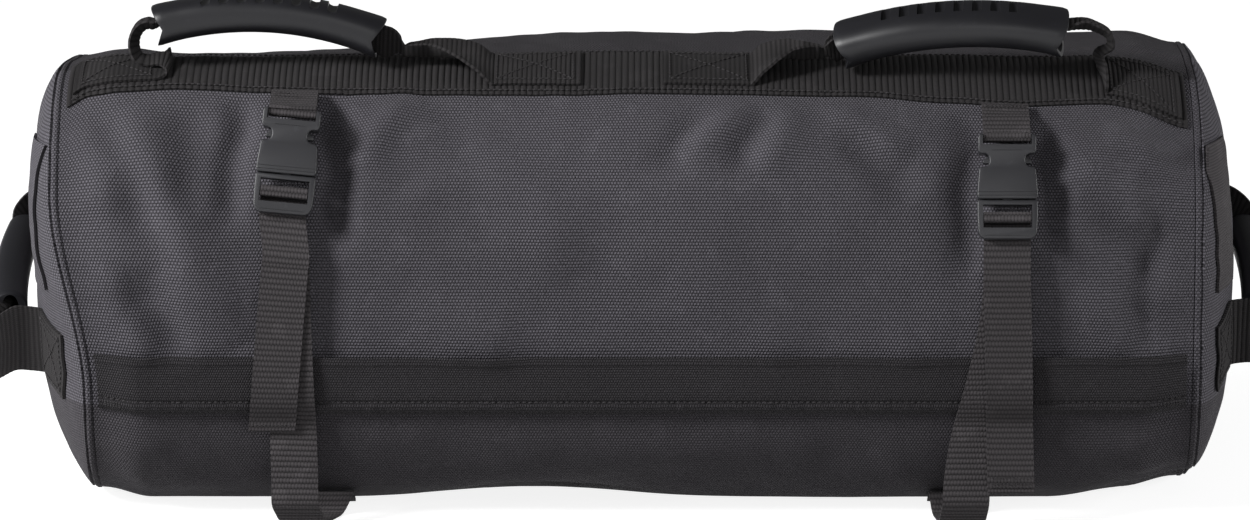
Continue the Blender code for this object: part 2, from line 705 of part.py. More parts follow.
def grip_mesh(name, length, half_height, half_depth, bore, arch, end_cut, cells):
    """A moulded grip along X, bored for its webbing, arched up, its ends cut to a shallow V."""
    bm = bmesh.new()
    turns = 2 * (cells[0] + 1)
    made = bmesh.ops.create_grid(bm, x_segments=turns, y_segments=cells[1], size=0.5)["verts"]
    for vertex in made:
        station = round((vertex.co.x + 0.5) * turns) % turns
        bored = station > cells[0]
        along = 2.0 * station / cells[0] - 1.0
        if bored:
            along = 2.0 * (turns - 1 - station) / cells[0] - 1.0
        wall_height, wall_depth = bore if bored else (half_height, half_depth)
        angle = vertex.co.y * 2.0 * pi
        across = abs(cos(angle)) ** GRIP_SQUARENESS
        upward = abs(sin(angle)) ** GRIP_SQUARENESS
        radius = (across + upward) ** (-1.0 / GRIP_SQUARENESS)
        y = -radius * cos(angle) * wall_depth
        z = radius * sin(angle) * wall_height
        inset = end_cut * (1.0 - abs(z) / half_height)
        x = along * (length / 2 - inset * abs(along) ** END_CUT_POWER)
        vertex.co = Vector((x, y, z + arch * (1.0 - along * along)))
    bmesh.ops.remove_doubles(bm, verts=bm.verts, dist=MERGE)
    bmesh.ops.recalc_face_normals(bm, faces=bm.faces)
    return mesh_from(bm, name)


def arch_rise(length, arch, reach):
    """Height of an arched grip's middle line at a distance in from its end."""
    return arch * (1.0 - (1.0 - 2.0 * reach / length) ** 2)


def sewn_run(name, out, sewn_x, patch_length, pinch, pinch_width, lift):
    """Webbing of a top handle from its box-stitched patch to the pinch where it starts to swing."""
    normal = section_normal(girth_angle(BAND_GIRTH))
    start = surface_point(sewn_x, BAND_GIRTH, lift)
    if (start.x - pinch.x) * out > 0.0:
        corners = [start, start.lerp(pinch, 0.5) + Vector((0.0, 0.0, FOLD_SWELL)), pinch]
        bend, rise = [], rounded_path(corners, PANEL_LENGTH, RISE_COUNT)[1:]
    else:
        turn = surface_point(sewn_x - out * 2 * FOLD_TURN, BAND_GIRTH, lift)
        back = turn + Vector((0.0, 0.0, 2 * FOLD_TURN))
        bend = rounded_path([start, turn, back, pinch], 2 * FOLD_TURN, TURN_COUNT)[1:-1]
        rise = [bend[-1].lerp(pinch, step / RISE_COUNT) for step in range(1, RISE_COUNT + 1)]
    flat = Vector((0.0, -normal.y, normal.x))
    upright = Vector((0.0, 0.0, -1.0))
    patch_end = sewn_x + out * patch_length
    xs = stops(min(sewn_x, patch_end), max(sewn_x, patch_end), PANEL_XS)
    if out > 0.0:
        xs.reverse()
    stations = [(x, None, 0.0) for x in xs[:-1]]
    stations += [(point.x, point, 0.0) for point in bend]
    for number, point in enumerate(rise):
        stations.append((point.x, point, number / (len(rise) - 1)))
    half_web = HANDLE_WEB_WIDTH / 2
    girths = stops(BAND_GIRTH - half_web, BAND_GIRTH + half_web, PANEL_GIRTHS)
    girths.reverse()

    def place(along, across):
        x, point, share = stations[round(along * (len(stations) - 1))]
        girth = girths[round(across * (len(girths) - 1))]
        on_band = surface_point(x, girth, lift)
        if point is None:
            return on_band
        lifted = on_band + point - surface_point(x, BAND_GIRTH, lift)
        spread = (BAND_GIRTH - girth) / HANDLE_WEB_WIDTH
        width = between(HANDLE_WEB_WIDTH, pinch_width, smooth_step(share * NARROWING))
        turned = flat.lerp(upright, smooth_step(share)).normalized()
        free = point + turned * (width * spread)
        return lifted.lerp(free, smooth_step(share * LETTING_GO))
    sheet(name, (len(stations) - 1, len(girths) - 1), place, WEB, 0.0, webbing_cloth(name), BAG)


def make_top_handle(side, word, grip_x, stand, tilt, fall, inner_sewn_x):
    """A grip on rolled webbing, which swings where the webbing is pinched at each end of it."""
    prefix = "top_handle_" + word
    lift = EASE + WEB + EASE + WEB / 2
    reach = GRIP_LENGTH / 2 + PINCH_REACH
    pinches = []
    for x in (grip_x - reach, grip_x + reach):
        pinch = surface_point(x, BAND_GIRTH, lift)
        pinch.z += PINCH_HEIGHT
        pinches.append(pinch)
    along = pinches[1] - pinches[0]
    middle = (pinches[0] + pinches[1]) / 2
    axis = (0.0, -atan2(along.z, along.x), atan2(along.y, along.x))
    pivot = empty(prefix + "_pivot", middle, (fall, axis[1], axis[2]), BAG)
    for end, out in (("outer", side), ("inner", -side)):
        sewn_x = side * OUTER_SEWN_X if end == "outer" else inner_sewn_x
        length = OUTER_PATCH_LENGTH if end == "outer" else INNER_PATCH_LENGTH
        pinch, width = pinches[1] if out > 0 else pinches[0], PINCH_WIDTH
        if end == "outer":
            width = OUTER_PINCH_WIDTH
            pinch = pinch - Vector((0.0, 0.0, width / 2 + WEB))
        sewn_run("%s_patch_%s" % (prefix, end), out, sewn_x, length, pinch, width, lift)

    holder = empty(prefix + "_grip_frame", (0.0, 0.0, stand), (0.0, tilt, 0.0), pivot)
    name = prefix + "_grip"
    mesh = grip_mesh(name, GRIP_LENGTH, GRIP_HEIGHT / 2, GRIP_DEPTH / 2, (BORE_WIDTH / 2, BORE_THICKNESS / 2),
                     GRIP_ARCH, GRIP_END_CUT, GRIP_COUNT)
    grip = add_object(name, mesh, moulded_plastic(name), holder)
    notches = []
    for number in range(NOTCH_COUNT):
        x = (number - (NOTCH_COUNT - 1) / 2) * NOTCH_PITCH
        rise = arch_rise(GRIP_LENGTH, GRIP_ARCH, GRIP_LENGTH / 2 - abs(x))
        size = (NOTCH_LENGTH, GRIP_DEPTH + OVERRUN, NOTCH_DEPTH * 2)
        notches.append((size, (x, 0.0, GRIP_HEIGHT / 2 + rise)))
    cut(grip, cutter_boxes(prefix + "_notches", notches, holder))

    for end, out in (("outer", side), ("inner", -side)):
        entry = out * (GRIP_LENGTH / 2 - BORE_REACH)
        grip_end = out * GRIP_LENGTH / 2
        shift = (holder.matrix_basis @ Vector((grip_end, 0.0, 0.0)))
        inside = holder.matrix_basis @ Vector((entry, 0.0, arch_rise(GRIP_LENGTH, GRIP_ARCH, BORE_REACH)))
        pinch_x = out * (reach - PINCH_WIDTH / 2 - GAP)
        corners = [inside, shift, Vector((pinch_x, 0.0, shift.z)), Vector((pinch_x, 0.0, 0.0))]
        points = rounded_path(corners, ROLL_TURN, TURN_COUNT)
        stations = []
        for number, point in enumerate(points):
            after = points[min(number + 1, len(points) - 1)]
            before = points[max(number - 1, 0)]
            run = (after - before).normalized()
            turned = Vector((run.z, 0.0, -run.x)) * -out
            share = smooth_step(BORED_NARROWING * number / (len(points) - 1))
            stations.append((point, turned.normalized(), between(ROLLED_WIDTH, PINCH_WIDTH, share)))
        name = "%s_webbing_%s" % (prefix, end)
        ribbon(name, stations, ROLLED, webbing_cloth(name), pivot)


def make_end_handle(side, word):
    """A smooth grip across an end panel, on webbing sewn down in front of it and behind it."""
    prefix = "end_handle_" + word
    tilt = Matrix.Rotation(END_HANDLE_TILT, 3, "X")
    middle = Vector((0.0, END_HANDLE_BACK_SET, END_HANDLE_HEIGHT - MIDDLE))
    half_spread = END_HANDLE_SPREAD / 2
    pinch_y = END_GRIP_LENGTH / 2 + END_PINCH_REACH
    last_y = pinch_y - ROLLED / 2 - GAP

    sewn = [middle + tilt @ Vector((0.0, out * half_spread, 0.0)) for out in (-1.0, 1.0)]
    hinge_x = max(end_x(spot.y, spot.z) for spot in sewn) + END_PINCH_LIFT
    pivot = empty(prefix + "_pivot", (side * hinge_x, middle.y, MIDDLE + middle.z), parent=BAG)
    pivot.rotation_euler = (END_HANDLE_TILT, 0.0, 0.0)

    for end, out in (("front", -1.0), ("back", 1.0)):
        def place(across, up, out=out):
            share = across if out * side > 0 else 1.0 - across
            far = half_spread + END_PATCH_LENGTH
            reach = between(pinch_y + GAP, far, share)
            loose = smooth_step((half_spread - reach) / (half_spread - pinch_y))
            width = between(HANDLE_WEB_WIDTH, END_PINCH_WIDTH, loose)
            spot = middle + tilt @ Vector((0.0, out * reach, width * (up - 0.5)))
            on_panel = end_x(spot.y, spot.z) + EASE
            return Vector((side * between(on_panel, hinge_x - WEB / 2, loose), spot.y, MIDDLE + spot.z))
        name = "%s_patch_%s" % (prefix, end)
        sheet(name, (END_PATCH_COUNT, PATCH_ROW_COUNT), place, WEB, 1.0, webbing_cloth(name), BAG)

    holder = empty(prefix + "_grip_frame", (side * END_HANDLE_REACH, 0.0, 0.0), parent=pivot)
    name = prefix + "_grip"
    bore = (BORE_THICKNESS / 2, BORE_WIDTH / 2)
    mesh = grip_mesh(name, END_GRIP_LENGTH, END_GRIP_RADIUS, END_GRIP_RADIUS, bore, END_GRIP_ARCH,
                     0.0, END_GRIP_COUNT)
    mesh.transform(Matrix(((0, 0, side, 0), (1, 0, 0, 0), (0, side, 0, 0), (0, 0, 0, 1))))
    add_object(name, mesh, moulded_plastic(name), holder)

    for end, out in (("front", -1.0), ("back", 1.0)):
        inside = out * (END_GRIP_LENGTH / 2 - BORE_REACH)
        grip_end = out * END_GRIP_LENGTH / 2
        rise = arch_rise(END_GRIP_LENGTH, END_GRIP_ARCH, BORE_REACH)
        route = [(END_HANDLE_REACH + rise, inside), (END_HANDLE_REACH, grip_end),
                 (END_HANDLE_REACH, out * last_y), (0.0, out * last_y)]
        points = rounded_path([Vector((side * x, y, 0.0)) for x, y in route], END_ROLL_TURN, TURN_COUNT)
        stations = []
        for number, point in enumerate(points):
            share = smooth_step(number / (len(points) - 1) * 2.0 - 1.0)
            stations.append((point, Vector((0.0, 0.0, 1.0)), between(ROLLED_WIDTH, END_PINCH_WIDTH, share)))
        name = "%s_webbing_%s" % (prefix, end)
        ribbon(name, stations, ROLLED, webbing_cloth(name), pivot)


def plate_mesh(name, outline, thickness):
    """A flat outline, given across and up, made a plate that is upright and faces -Y."""
    curve = bpy.data.curves.new(name, "CURVE")
    curve.dimensions = "2D"
    curve.fill_mode = "BOTH"
    curve.extrude = thickness / 2
    line = curve.splines.new("POLY")
    line.points.add(len(outline) - 1)
    for point, (across, up) in zip(line.points, outline):
        point.co = (across, up, 0.0, 1.0)
    line.use_cyclic_u = True
    drawn = bpy.data.objects.new(name + "_outline", curve)
    bpy.context.scene.collection.objects.link(drawn)
    bpy.context.view_layer.update()
    mesh = bpy.data.meshes.new_from_object(drawn.evaluated_get(bpy.context.evaluated_depsgraph_get()))
    bpy.data.objects.remove(drawn, do_unlink=True)
    bm = bmesh.new()
    bm.from_mesh(mesh)
    bmesh.ops.remove_doubles(bm, verts=bm.verts, dist=MERGE)
    bmesh.ops.transform(bm, matrix=Matrix.Rotation(pi / 2, 4, "X"), verts=bm.verts)
    bmesh.ops.recalc_face_normals(bm, faces=bm.faces)
    bpy.data.meshes.remove(mesh)
    return mesh_from(bm, name, smooth=False)


def mirrored(half_outline):
    """A whole outline from its right half, given from bottom to top."""
    return half_outline + [(-across, up) for across, up in reversed(half_outline)]


def make_buckle(word, x, height, turn):
    """Side-release buckle: socket on a short tab, plug on the strap, two springing arms."""
    girth = girth_at_height(height)
    frame = empty("buckle_frame_" + word, surface_point(x, girth, BUCKLE_STAND_OFF), parent=BAG)
    frame.rotation_euler = (Matrix.Rotation(-BUCKLE_LEAN, 3, "X") @ Matrix.Rotation(turn, 3, "Y")).to_euler()
    half = BUCKLE_WIDTH / 2

    waist_low = SOCKET_RIM
    waist_high = waist_low + WAIST_LENGTH
    flange_top = waist_high + FLANGE_LENGTH
    top = flange_top + SLOT_LENGTH + BAR_LENGTH
    half_outline = [
        (half - CORNER_CUT, 0.0), (half, CORNER_CUT), (half, waist_low - CORNER_CUT),
        (half - CORNER_CUT, waist_low), (WAIST_WIDTH / 2, waist_low + CORNER_CUT),
        (WAIST_WIDTH / 2, waist_high), (half - CORNER_CUT, waist_high + CORNER_CUT),
        (half - CORNER_CUT / 2, top - CORNER_CUT), (half - CORNER_CUT, top),
    ]
    name = "buckle_socket_" + word
    socket = add_object(name, plate_mesh(name, mirrored(half_outline), SOCKET), moulded_plastic(name), frame)
    pocket = ((POCKET_WIDTH, POCKET, POCKET_DEPTH + OVERRUN), (0.0, 0.0, (POCKET_DEPTH - OVERRUN) / 2))
    slot_width = BUCKLE_WIDTH - 2 * POST_WIDTH
    slot = ((slot_width, SOCKET + OVERRUN, SLOT_LENGTH), (0.0, 0.0, flange_top + SLOT_LENGTH / 2))
    shave = (SOCKET - BAR) / 2
    shave_size = (slot_width, shave + OVERRUN, SLOT_LENGTH + BAR_LENGTH + OVERRUN)
    shave_up = flange_top + (SLOT_LENGTH + BAR_LENGTH + OVERRUN) / 2
    shave_out = BAR / 2 + (shave + OVERRUN) / 2
    cut(socket, cutter_boxes(name + "_pocket", [pocket], frame))
    cut(socket, cutter_boxes(name + "_slot", [slot], frame))
    cut(socket, cutter_boxes(name + "_bar", [(shave_size, (0.0, -shave_out, shave_up)),
                                             (shave_size, (0.0, shave_out, shave_up))], frame))

    bars = (PLUG_TOP_RAIL, PLUG_UPPER_SLOT, PLUG_MIDDLE_BAR, PLUG_LOWER_SLOT, PLUG_LOWER_BAR)
    plug_length = sum(bars)
    half_outline = [
        (half - CORNER_CUT * 2, -plug_length), (half, CORNER_CUT * 2 - plug_length),
        (half, -GAP - CORNER_CUT / 2), (half - CORNER_CUT / 2, -GAP),
    ]
    name = "buckle_plug_" + word
    plug = add_object(name, plate_mesh(name, mirrored(half_outline), PLUG), moulded_plastic(name), frame)
    slot_width = BUCKLE_WIDTH - 2 * POST_WIDTH
    upper = -PLUG_TOP_RAIL - PLUG_UPPER_SLOT / 2
    lower = upper - PLUG_UPPER_SLOT / 2 - PLUG_MIDDLE_BAR - PLUG_LOWER_SLOT / 2
    bar_up = upper - PLUG_UPPER_SLOT / 2 - PLUG_MIDDLE_BAR / 2
    thin = (PLUG - PLUG_MIDDLE_BAR) / 2
    thin_size = (slot_width, thin + OVERRUN, PLUG_MIDDLE_BAR + OVERRUN)
    thin_out = PLUG_MIDDLE_BAR / 2 + (thin + OVERRUN) / 2
    slots = [((slot_width, PLUG + OVERRUN, PLUG_UPPER_SLOT), (0.0, 0.0, upper)),
             ((slot_width, PLUG + OVERRUN, PLUG_LOWER_SLOT), (0.0, 0.0, lower))]
    cut(plug, cutter_boxes(name + "_slots", slots, frame))
    cut(plug, cutter_boxes(name + "_bar", [(thin_size, (0.0, -thin_out, bar_up)),
                                           (thin_size, (0.0, thin_out, bar_up))], frame))
    tongue = (TONGUE_WIDTH, ARM_THICKNESS, TONGUE_LENGTH + PLUG_TOP_RAIL / 2)
    tongue_up = (TONGUE_LENGTH - PLUG_TOP_RAIL / 2) / 2
    cut(plug, cutter_boxes(name + "_tongue", [(tongue, (0.0, 0.0, tongue_up))], frame), "UNION")

    arm_top = SOCKET_RIM + CORNER_CUT + BARB_CLEARANCE + BARB_LENGTH
    barb_low = SOCKET_RIM + CORNER_CUT + BARB_CLEARANCE
    for across, end in ((-1.0, "a"), (1.0, "b")):
        root = empty("buckle_arm_%s_%s_pivot" % (word, end),
                     (across * (ARM_ROOT + ARM_WIDTH / 2), 0.0, ARM_STAND), parent=frame)
        outline = [(-ARM_WIDTH / 2, 0.0), (ARM_WIDTH / 2, 0.0), (ARM_WIDTH / 2, barb_low - ARM_STAND),
                   (BARB_REACH - ARM_ROOT - ARM_WIDTH / 2, barb_low - ARM_STAND),
                   (ARM_WIDTH / 2, arm_top - ARM_STAND), (-ARM_WIDTH / 2, arm_top - ARM_STAND)]
        outline = [(across * u, w) for u, w in outline]
        name = "buckle_arm_%s_%s" % (word, end)
        add_object(name, plate_mesh(name, outline, ARM_THICKNESS), moulded_plastic(name), root)
    return frame, top, bars


def in_frame(frame, out, up):
    """A place on a buckle's middle plane, given outward of it and along it."""
    bpy.context.view_layer.update()
    return frame.matrix_world @ Vector((0.0, -out, up))


def make_strap(word, frame, height, socket_top, bars, tail_end, drifts):
    """The webbing of one buckle: the sewn tab above it and the long strap below it."""
    tail_drift, run_drift, loop_drift = drifts
    across = (frame.matrix_world.to_3x3() @ Vector((1.0, 0.0, 0.0))).normalized()
    level = Vector((1.0, 0.0, 0.0))
    x = frame.location.x
    clear = STRAP / 2 + GAP

    bar_out = BAR / 2 + clear
    bar_low = socket_top - BAR_LENGTH - clear
    band_low = BAND_GIRTH - BAND_WIDTH / 2 - STRAP - GAP
    lean = (in_frame(frame, 0.0, socket_top) - in_frame(frame, 0.0, 0.0)).x
    tab_x = x + lean
    top_girth = girth_at_height(in_frame(frame, 0.0, socket_top + clear).z)
    half_girth = (band_low + top_girth) / 2
    layer = STRAP + STRAP_LAYER
    inner, outer = STRAP_SLACK + clear, STRAP_SLACK + clear + layer
    corners = [surface_point(tab_x, band_low, inner),
               in_frame(frame, -bar_out, socket_top + clear), in_frame(frame, -bar_out, bar_low),
               in_frame(frame, bar_out, bar_low), in_frame(frame, bar_out, socket_top + clear),
               surface_point(tab_x, band_low, outer)]
    if band_low - top_girth > TAB_ROOM:
        corners.insert(1, surface_point(tab_x, half_girth, inner + TAB_BOW))
        corners.insert(-1, surface_point(tab_x, half_girth, outer + TAB_BOW))
    points = rounded_path(corners, clear, STRAP_TURN_COUNT)
    along_band = surface_point(tab_x + STRAP_WIDTH, band_low) - surface_point(tab_x - STRAP_WIDTH, band_low)
    stations = []
    for number, point in enumerate(points):
        sewn = abs(2.0 * number / (len(points) - 1) - 1.0)
        turned = across.lerp(along_band.normalized(), smooth_step(sewn * 3.0 - 2.0))
        stations.append((point, turned.normalized(), STRAP_WIDTH))
    name = "strap_tab_" + word
    ribbon(name, stations, STRAP, webbing_cloth(name), BAG, cells=1)

    top_rail, upper_slot, middle_bar, lower_slot, lower_bar = bars
    plug_low = -sum(bars)
    tail_out = PLUG / 2 + clear
    run_out = tail_out + STRAP + STRAP_LAYER
    wrap_out = middle_bar / 2 + clear
    upper_up = -top_rail - upper_slot + clear
    lower_up = -top_rail - upper_slot - middle_bar - clear

    flap_low = girth_at_height(FLAP_SEAM_HEIGHT)
    flap_high = girth_at_height(FLAP_EDGE_HEIGHT)

    def run_lift(girth):
        """How far the strap lies off the panel, over the flap."""
        share = smooth_step((girth - flap_low) / (flap_high - flap_low) * 2.0)
        return FLAP_STAND_OFF * share + FABRIC + EASE + STRAP_SLACK + clear

    hang = surface_point(x, flap_low, run_lift(flap_low))

    def below_buckle(height, drift, layer):
        """A place on the strap at a height: over the flap, or hanging straight below it."""
        girth = girth_at_height(height)
        if girth > flap_low:
            place = surface_point(x, girth, run_lift(girth) + layer)
        else:
            place = Vector((x, hang.y - layer, height))
        place.x = x + drift
        return place

    start_height = height - DROP_BELOW_PLUG
    tail = []
    for step in range(TAIL_COUNT + 1):
        share = step / TAIL_COUNT
        tail.append(below_buckle(between(tail_end, start_height, share), tail_drift * (1.0 - share), layer))
    run = []
    for step in range(RUN_COUNT + 1):
        share = step / RUN_COUNT
        height = between(start_height, FOLD_HEIGHT, share)
        run.append(below_buckle(height, run_drift * smooth_step(share), 0.0))
    wrap = rounded_path([in_frame(frame, -tail_out, plug_low), in_frame(frame, -tail_out, lower_up),
                         in_frame(frame, wrap_out, lower_up), in_frame(frame, wrap_out, upper_up),
                         in_frame(frame, -run_out, upper_up), in_frame(frame, -run_out, plug_low)],
                        clear, STRAP_TURN_COUNT)
    fold_x = x + run_drift
    floor = STRAP / 2
    anchor_girth = girth_at_height(ANCHOR_HEIGHT)
    anchor_x = fold_x + loop_drift
    anchor = surface_point(anchor_x, anchor_girth + STRAP, STRAP_SLACK + STRAP / 2)
    lead = surface_point(anchor_x, anchor_girth + ANCHOR_LEAD, STRAP_SLACK + STRAP / 2)
    loop = rounded_path([
        run[-1],
        Vector((fold_x + loop_drift * 0.2, -LOOP_FRONT, floor)),
        Vector((fold_x + loop_drift * 0.7, lead.y, floor)),
        lead,
        anchor,
    ], FOLD_HEIGHT / 2, LOOP_COUNT)[1:]
    centres = tail + wrap + run + loop
    stations = []
    first, last = len(tail), len(tail) + len(wrap)
    for number, centre in enumerate(centres):
        if number < first:
            turned = level.lerp(across, number / first)
        elif number < last:
            turned = across
        else:
            turned = across.lerp(level, min(1.0, (number - last) / len(run)))
        stations.append((centre, turned.normalized(), STRAP_WIDTH))
    name = "strap_" + word
    ribbon(name, stations, STRAP, webbing_cloth(name), BAG, cells=1)

    name = "strap_anchor_" + word
    half_width = STRAP_WIDTH / 2
    surface_sheet(name, (anchor_x - half_width, anchor_x + half_width),
                  (anchor_girth - ANCHOR_LENGTH, anchor_girth), EASE, STRAP, webbing_cloth(name))


def centre_on_floor():
    """Move the bag so that the middle of its footprint is at the origin."""
    bpy.context.view_layer.update()
    depsgraph = bpy.context.evaluated_depsgraph_get()
    places = []
    for made in PARTS.objects:
        if made.type not in ("MESH", "CURVE"):
            continue
        evaluated = made.evaluated_get(depsgraph)
        mesh = evaluated.to_mesh()
        places += [made.matrix_world @ vertex.co for vertex in mesh.vertices]
        evaluated.to_mesh_clear()
    low = [min(place[axis] for place in places) for axis in range(3)]
    high = [max(place[axis] for place in places) for axis in range(3)]
    BAG.location = (-(low[0] + high[0]) / 2, -(low[1] + high[1]) / 2, -low[2])
    bpy.context.view_layer.update()


def main():
    zip_girth = girth_at_height(ZIP_HEIGHT)
    normal = section_normal(girth_angle(zip_girth))
    lean = -atan2(normal.y, -normal.x)
    zip_frame = empty("zip_frame", surface_point(0.0, zip_girth), (lean, 0.0, 0.0), BAG)
    make_main_panel(zip_frame)
    make_band()
    make_flap()
    make_zip(zip_frame)
    make_fillers()
    make_top_handle(-1.0, "left", GRIP_X_LEFT, GRIP_STAND_LEFT, GRIP_TILT_LEFT, GRIP_FALL_LEFT,
                    INNER_SEWN_X_LEFT)
    make_top_handle(1.0, "right", GRIP_X_RIGHT, GRIP_STAND_RIGHT, GRIP_TILT_RIGHT, GRIP_FALL_RIGHT,
                    INNER_SEWN_X_RIGHT)
    for side, word in ((-1.0, "left"), (1.0, "right")):
        make_end(side, word)
        make_end_handle(side, word)
    frame, top, bars = make_buckle("left", BUCKLE_X_LEFT, BUCKLE_HEIGHT_LEFT, BUCKLE_TURN_LEFT)
    make_strap("left", frame, BUCKLE_HEIGHT_LEFT, top, bars, TAIL_END_LEFT,
               (TAIL_DRIFT_LEFT, RUN_DRIFT_LEFT, LOOP_DRIFT_LEFT))
    frame, top, bars = make_buckle("right", BUCKLE_X_RIGHT, BUCKLE_HEIGHT_RIGHT, BUCKLE_TURN_RIGHT)
    make_strap("right", frame, BUCKLE_HEIGHT_RIGHT, top, bars, TAIL_END_RIGHT,
               (TAIL_DRIFT_RIGHT, RUN_DRIFT_RIGHT, LOOP_DRIFT_RIGHT))
    centre_on_floor()


main()
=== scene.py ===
"""Dress the packed sandbag trainer: cloth, webbing, moulded grips, buckles and stitching.

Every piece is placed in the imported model's own frame, in metres. The file is laid out as an
add-on: each piece or group of like pieces has its operator, and main() calls them in order.
"""

import bisect
import json
from math import asin, atan2, ceil, cos, exp, hypot, pi, radians, sin, sqrt

import bpy
import numpy as np
from bpy.props import FloatProperty, FloatVectorProperty, PointerProperty
from mathutils import Euler, Matrix, Vector, noise


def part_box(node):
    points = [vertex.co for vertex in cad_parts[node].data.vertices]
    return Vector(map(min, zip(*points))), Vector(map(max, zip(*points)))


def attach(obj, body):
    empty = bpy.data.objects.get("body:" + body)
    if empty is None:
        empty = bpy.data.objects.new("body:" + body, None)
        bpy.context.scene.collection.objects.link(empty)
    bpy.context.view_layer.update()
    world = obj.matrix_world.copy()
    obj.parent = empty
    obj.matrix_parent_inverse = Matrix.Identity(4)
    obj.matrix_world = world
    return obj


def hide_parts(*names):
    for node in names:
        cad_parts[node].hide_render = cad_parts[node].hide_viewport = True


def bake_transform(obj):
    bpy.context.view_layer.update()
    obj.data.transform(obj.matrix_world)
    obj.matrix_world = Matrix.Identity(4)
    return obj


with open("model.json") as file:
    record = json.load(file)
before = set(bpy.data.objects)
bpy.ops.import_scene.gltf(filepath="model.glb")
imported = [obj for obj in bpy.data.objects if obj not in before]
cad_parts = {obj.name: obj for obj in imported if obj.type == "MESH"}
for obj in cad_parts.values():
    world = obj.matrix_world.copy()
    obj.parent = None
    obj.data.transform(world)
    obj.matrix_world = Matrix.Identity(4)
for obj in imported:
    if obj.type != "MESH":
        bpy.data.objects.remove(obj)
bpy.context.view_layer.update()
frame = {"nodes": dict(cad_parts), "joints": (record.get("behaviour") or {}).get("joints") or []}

bl_info = {
    "name": "Sandbag trainer",
    "version": (1, 0, 0),
    "blender": (4, 5, 0),
    "location": "View3D > Sidebar > Sandbag",
    "description": "Cloth, webbing, grips and buckles of a filled sandbag trainer",
    "category": "Object",
}

PANEL_LOW, PANEL_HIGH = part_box("main_panel")

# Rounded form of the filled bag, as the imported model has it
HALF_PANEL = 0.298
HALF_DEPTH = 0.122
HALF_HEIGHT = 0.122
MIDDLE = HALF_HEIGHT
SQUARENESS = 2.8
FLOOR_PRESS = 0.005
END_BULGE = 0.0225
DRAW_IN = 0.005
DRAW_IN_LENGTH = 0.028
LEFT_SLUMP = 0.013
END_SLUMP = 0.58                 # share of the slump that is left at the left end
SLUMP_LENGTH = 0.23
SLUMP_FRONT = 0.075
SLUMP_REACH = 0.135
HELD_FROM = 0.245                # along the bag to the left, where the seam begins to hold
HELD_LENGTH = 0.053
SLIDES = ((-0.298, -0.008), (-0.284, 0.001), (-0.240, 0.005), (-0.180, 0.001), (0.0, 0.0),
          (0.120, -0.003), (0.165, -0.008), (0.205, -0.012), (0.250, -0.010), (0.298, -0.026))
SLIDE_REACH = 0.090
BULGE_POWER = 2.6
BULGE_FULLNESS = 0.8
FABRIC = 0.0015
BINDING_RADIUS = 0.0018
CORD_RADIUS = BINDING_RADIUS * 1.2
CORD_UNEVEN = 0.12
CORD_LOWEST = BINDING_RADIUS * 1.15
CORD_ROUND = 0.011
GAP = 0.0003
WELD = GAP / 20
EASE = 0.0006
WEB = 0.0016
BAND_WIDTH = 0.050
HANDLE_WEB = 0.038
HANDLE_RIB_HEIGHT = 0.00035
STRAP_WIDTH = 0.025
STRAP = 0.0013
END_SEAM_X = HALF_PANEL + 2 * BINDING_RADIUS + 2 * GAP
END_SHRINK = 1.0 - (DRAW_IN + FABRIC) / HALF_HEIGHT
SHIFT_Y = (PANEL_LOW.y + PANEL_HIGH.y) / 2

# Places on the front, as heights above the floor
BAND_LOWER_HEIGHT = 0.2295
FLAP_SEAM_HEIGHT = 0.059
FLAP_EDGE_HEIGHT = 0.096
ZIP_HEIGHT = 0.080
FLAP_STAND_OFF = 0.0040
FLAP_END_MARGIN = 0.0035
FLAP_SEWN_HEIGHT = 0.0635
FLAP_HEM = 0.0045
PULLER_DROP = 0.010
STITCH_PITCH = 0.0033
ZIP_HALF_LENGTH = 0.267
ZIP_SLIT_HALF = 0.0075
TAPE_HEIGHT = 0.0090
FLAP_STITCH_HEIGHTS = (0.0655, 0.0712)
FILLER_COUNT = 3
TOP_CLOTH_GIRTH = 0.0200         # behind the band's middle, where the smoother, darker top cloth starts, its darkness partly painted shade

# Handles
JOINTS = {joint["name"]: joint for joint in frame["joints"]}
GRIP_LENGTH = 0.124
GRIP_HALF_HEIGHT = 0.01025
GRIP_HALF_DEPTH = 0.0135
GRIP_ARCH = 0.0105
GRIP_END_CUT = 0.0050
GRIP_SQUARENESS = 2.6
GRIP_WALL = 0.0022
NOTCH_COUNT = 8
NOTCH_FRONTS = {"left": -0.0200, "right": -0.0010}
NOTCH_PITCH = 0.0096
NOTCH_LENGTH = 0.0048
NOTCH_DEPTH = 0.0032
GRIP_STANDS = {"left": 0.0090, "right": 0.0108}
GRIP_SHRINK = 0.985              # of the visible shell, its end faces lying square to the arch
GRIP_TILTS = {"left": radians(3.3), "right": radians(-6.5)}
GRIP_FALLS = {"left": 0.0, "right": radians(30.0)}
OUTER_SEWN_X = 0.2520
INNER_SEWN_X = {"left": -0.0770, "right": 0.0630}
OUTER_PATCH = 0.0400
INNER_PATCH = 0.0480
END_GRIP_LENGTH = 0.104
END_GRIP_RADIUS = 0.0098
END_GRIP_ARCH = 0.0030
END_TILT = radians(13.0)
END_REACH = 0.0105
END_SPREAD = 0.148
END_PATCH = 0.034
FRONT_SAG = 0.0110
FRONT_DROPS = {"left": 0.0085, "right": 0.0040}
WEB_CELLS = 12
RIB_CELLS = 5
STRIP_RIB = 0.0015
LEFT_STRIP_BACK = 0.008          # of the left strip from the seam that has twisted over it
SELVAGE = 0.0016
BAND_RELIEF = 0.0006
FOLD_ROUND = 0.0016
PATCH_LIFT = 0.0028              # of the patches' webbing over the band
INNER_PINCHES = {"left": 0.0730, "right": 0.0690}
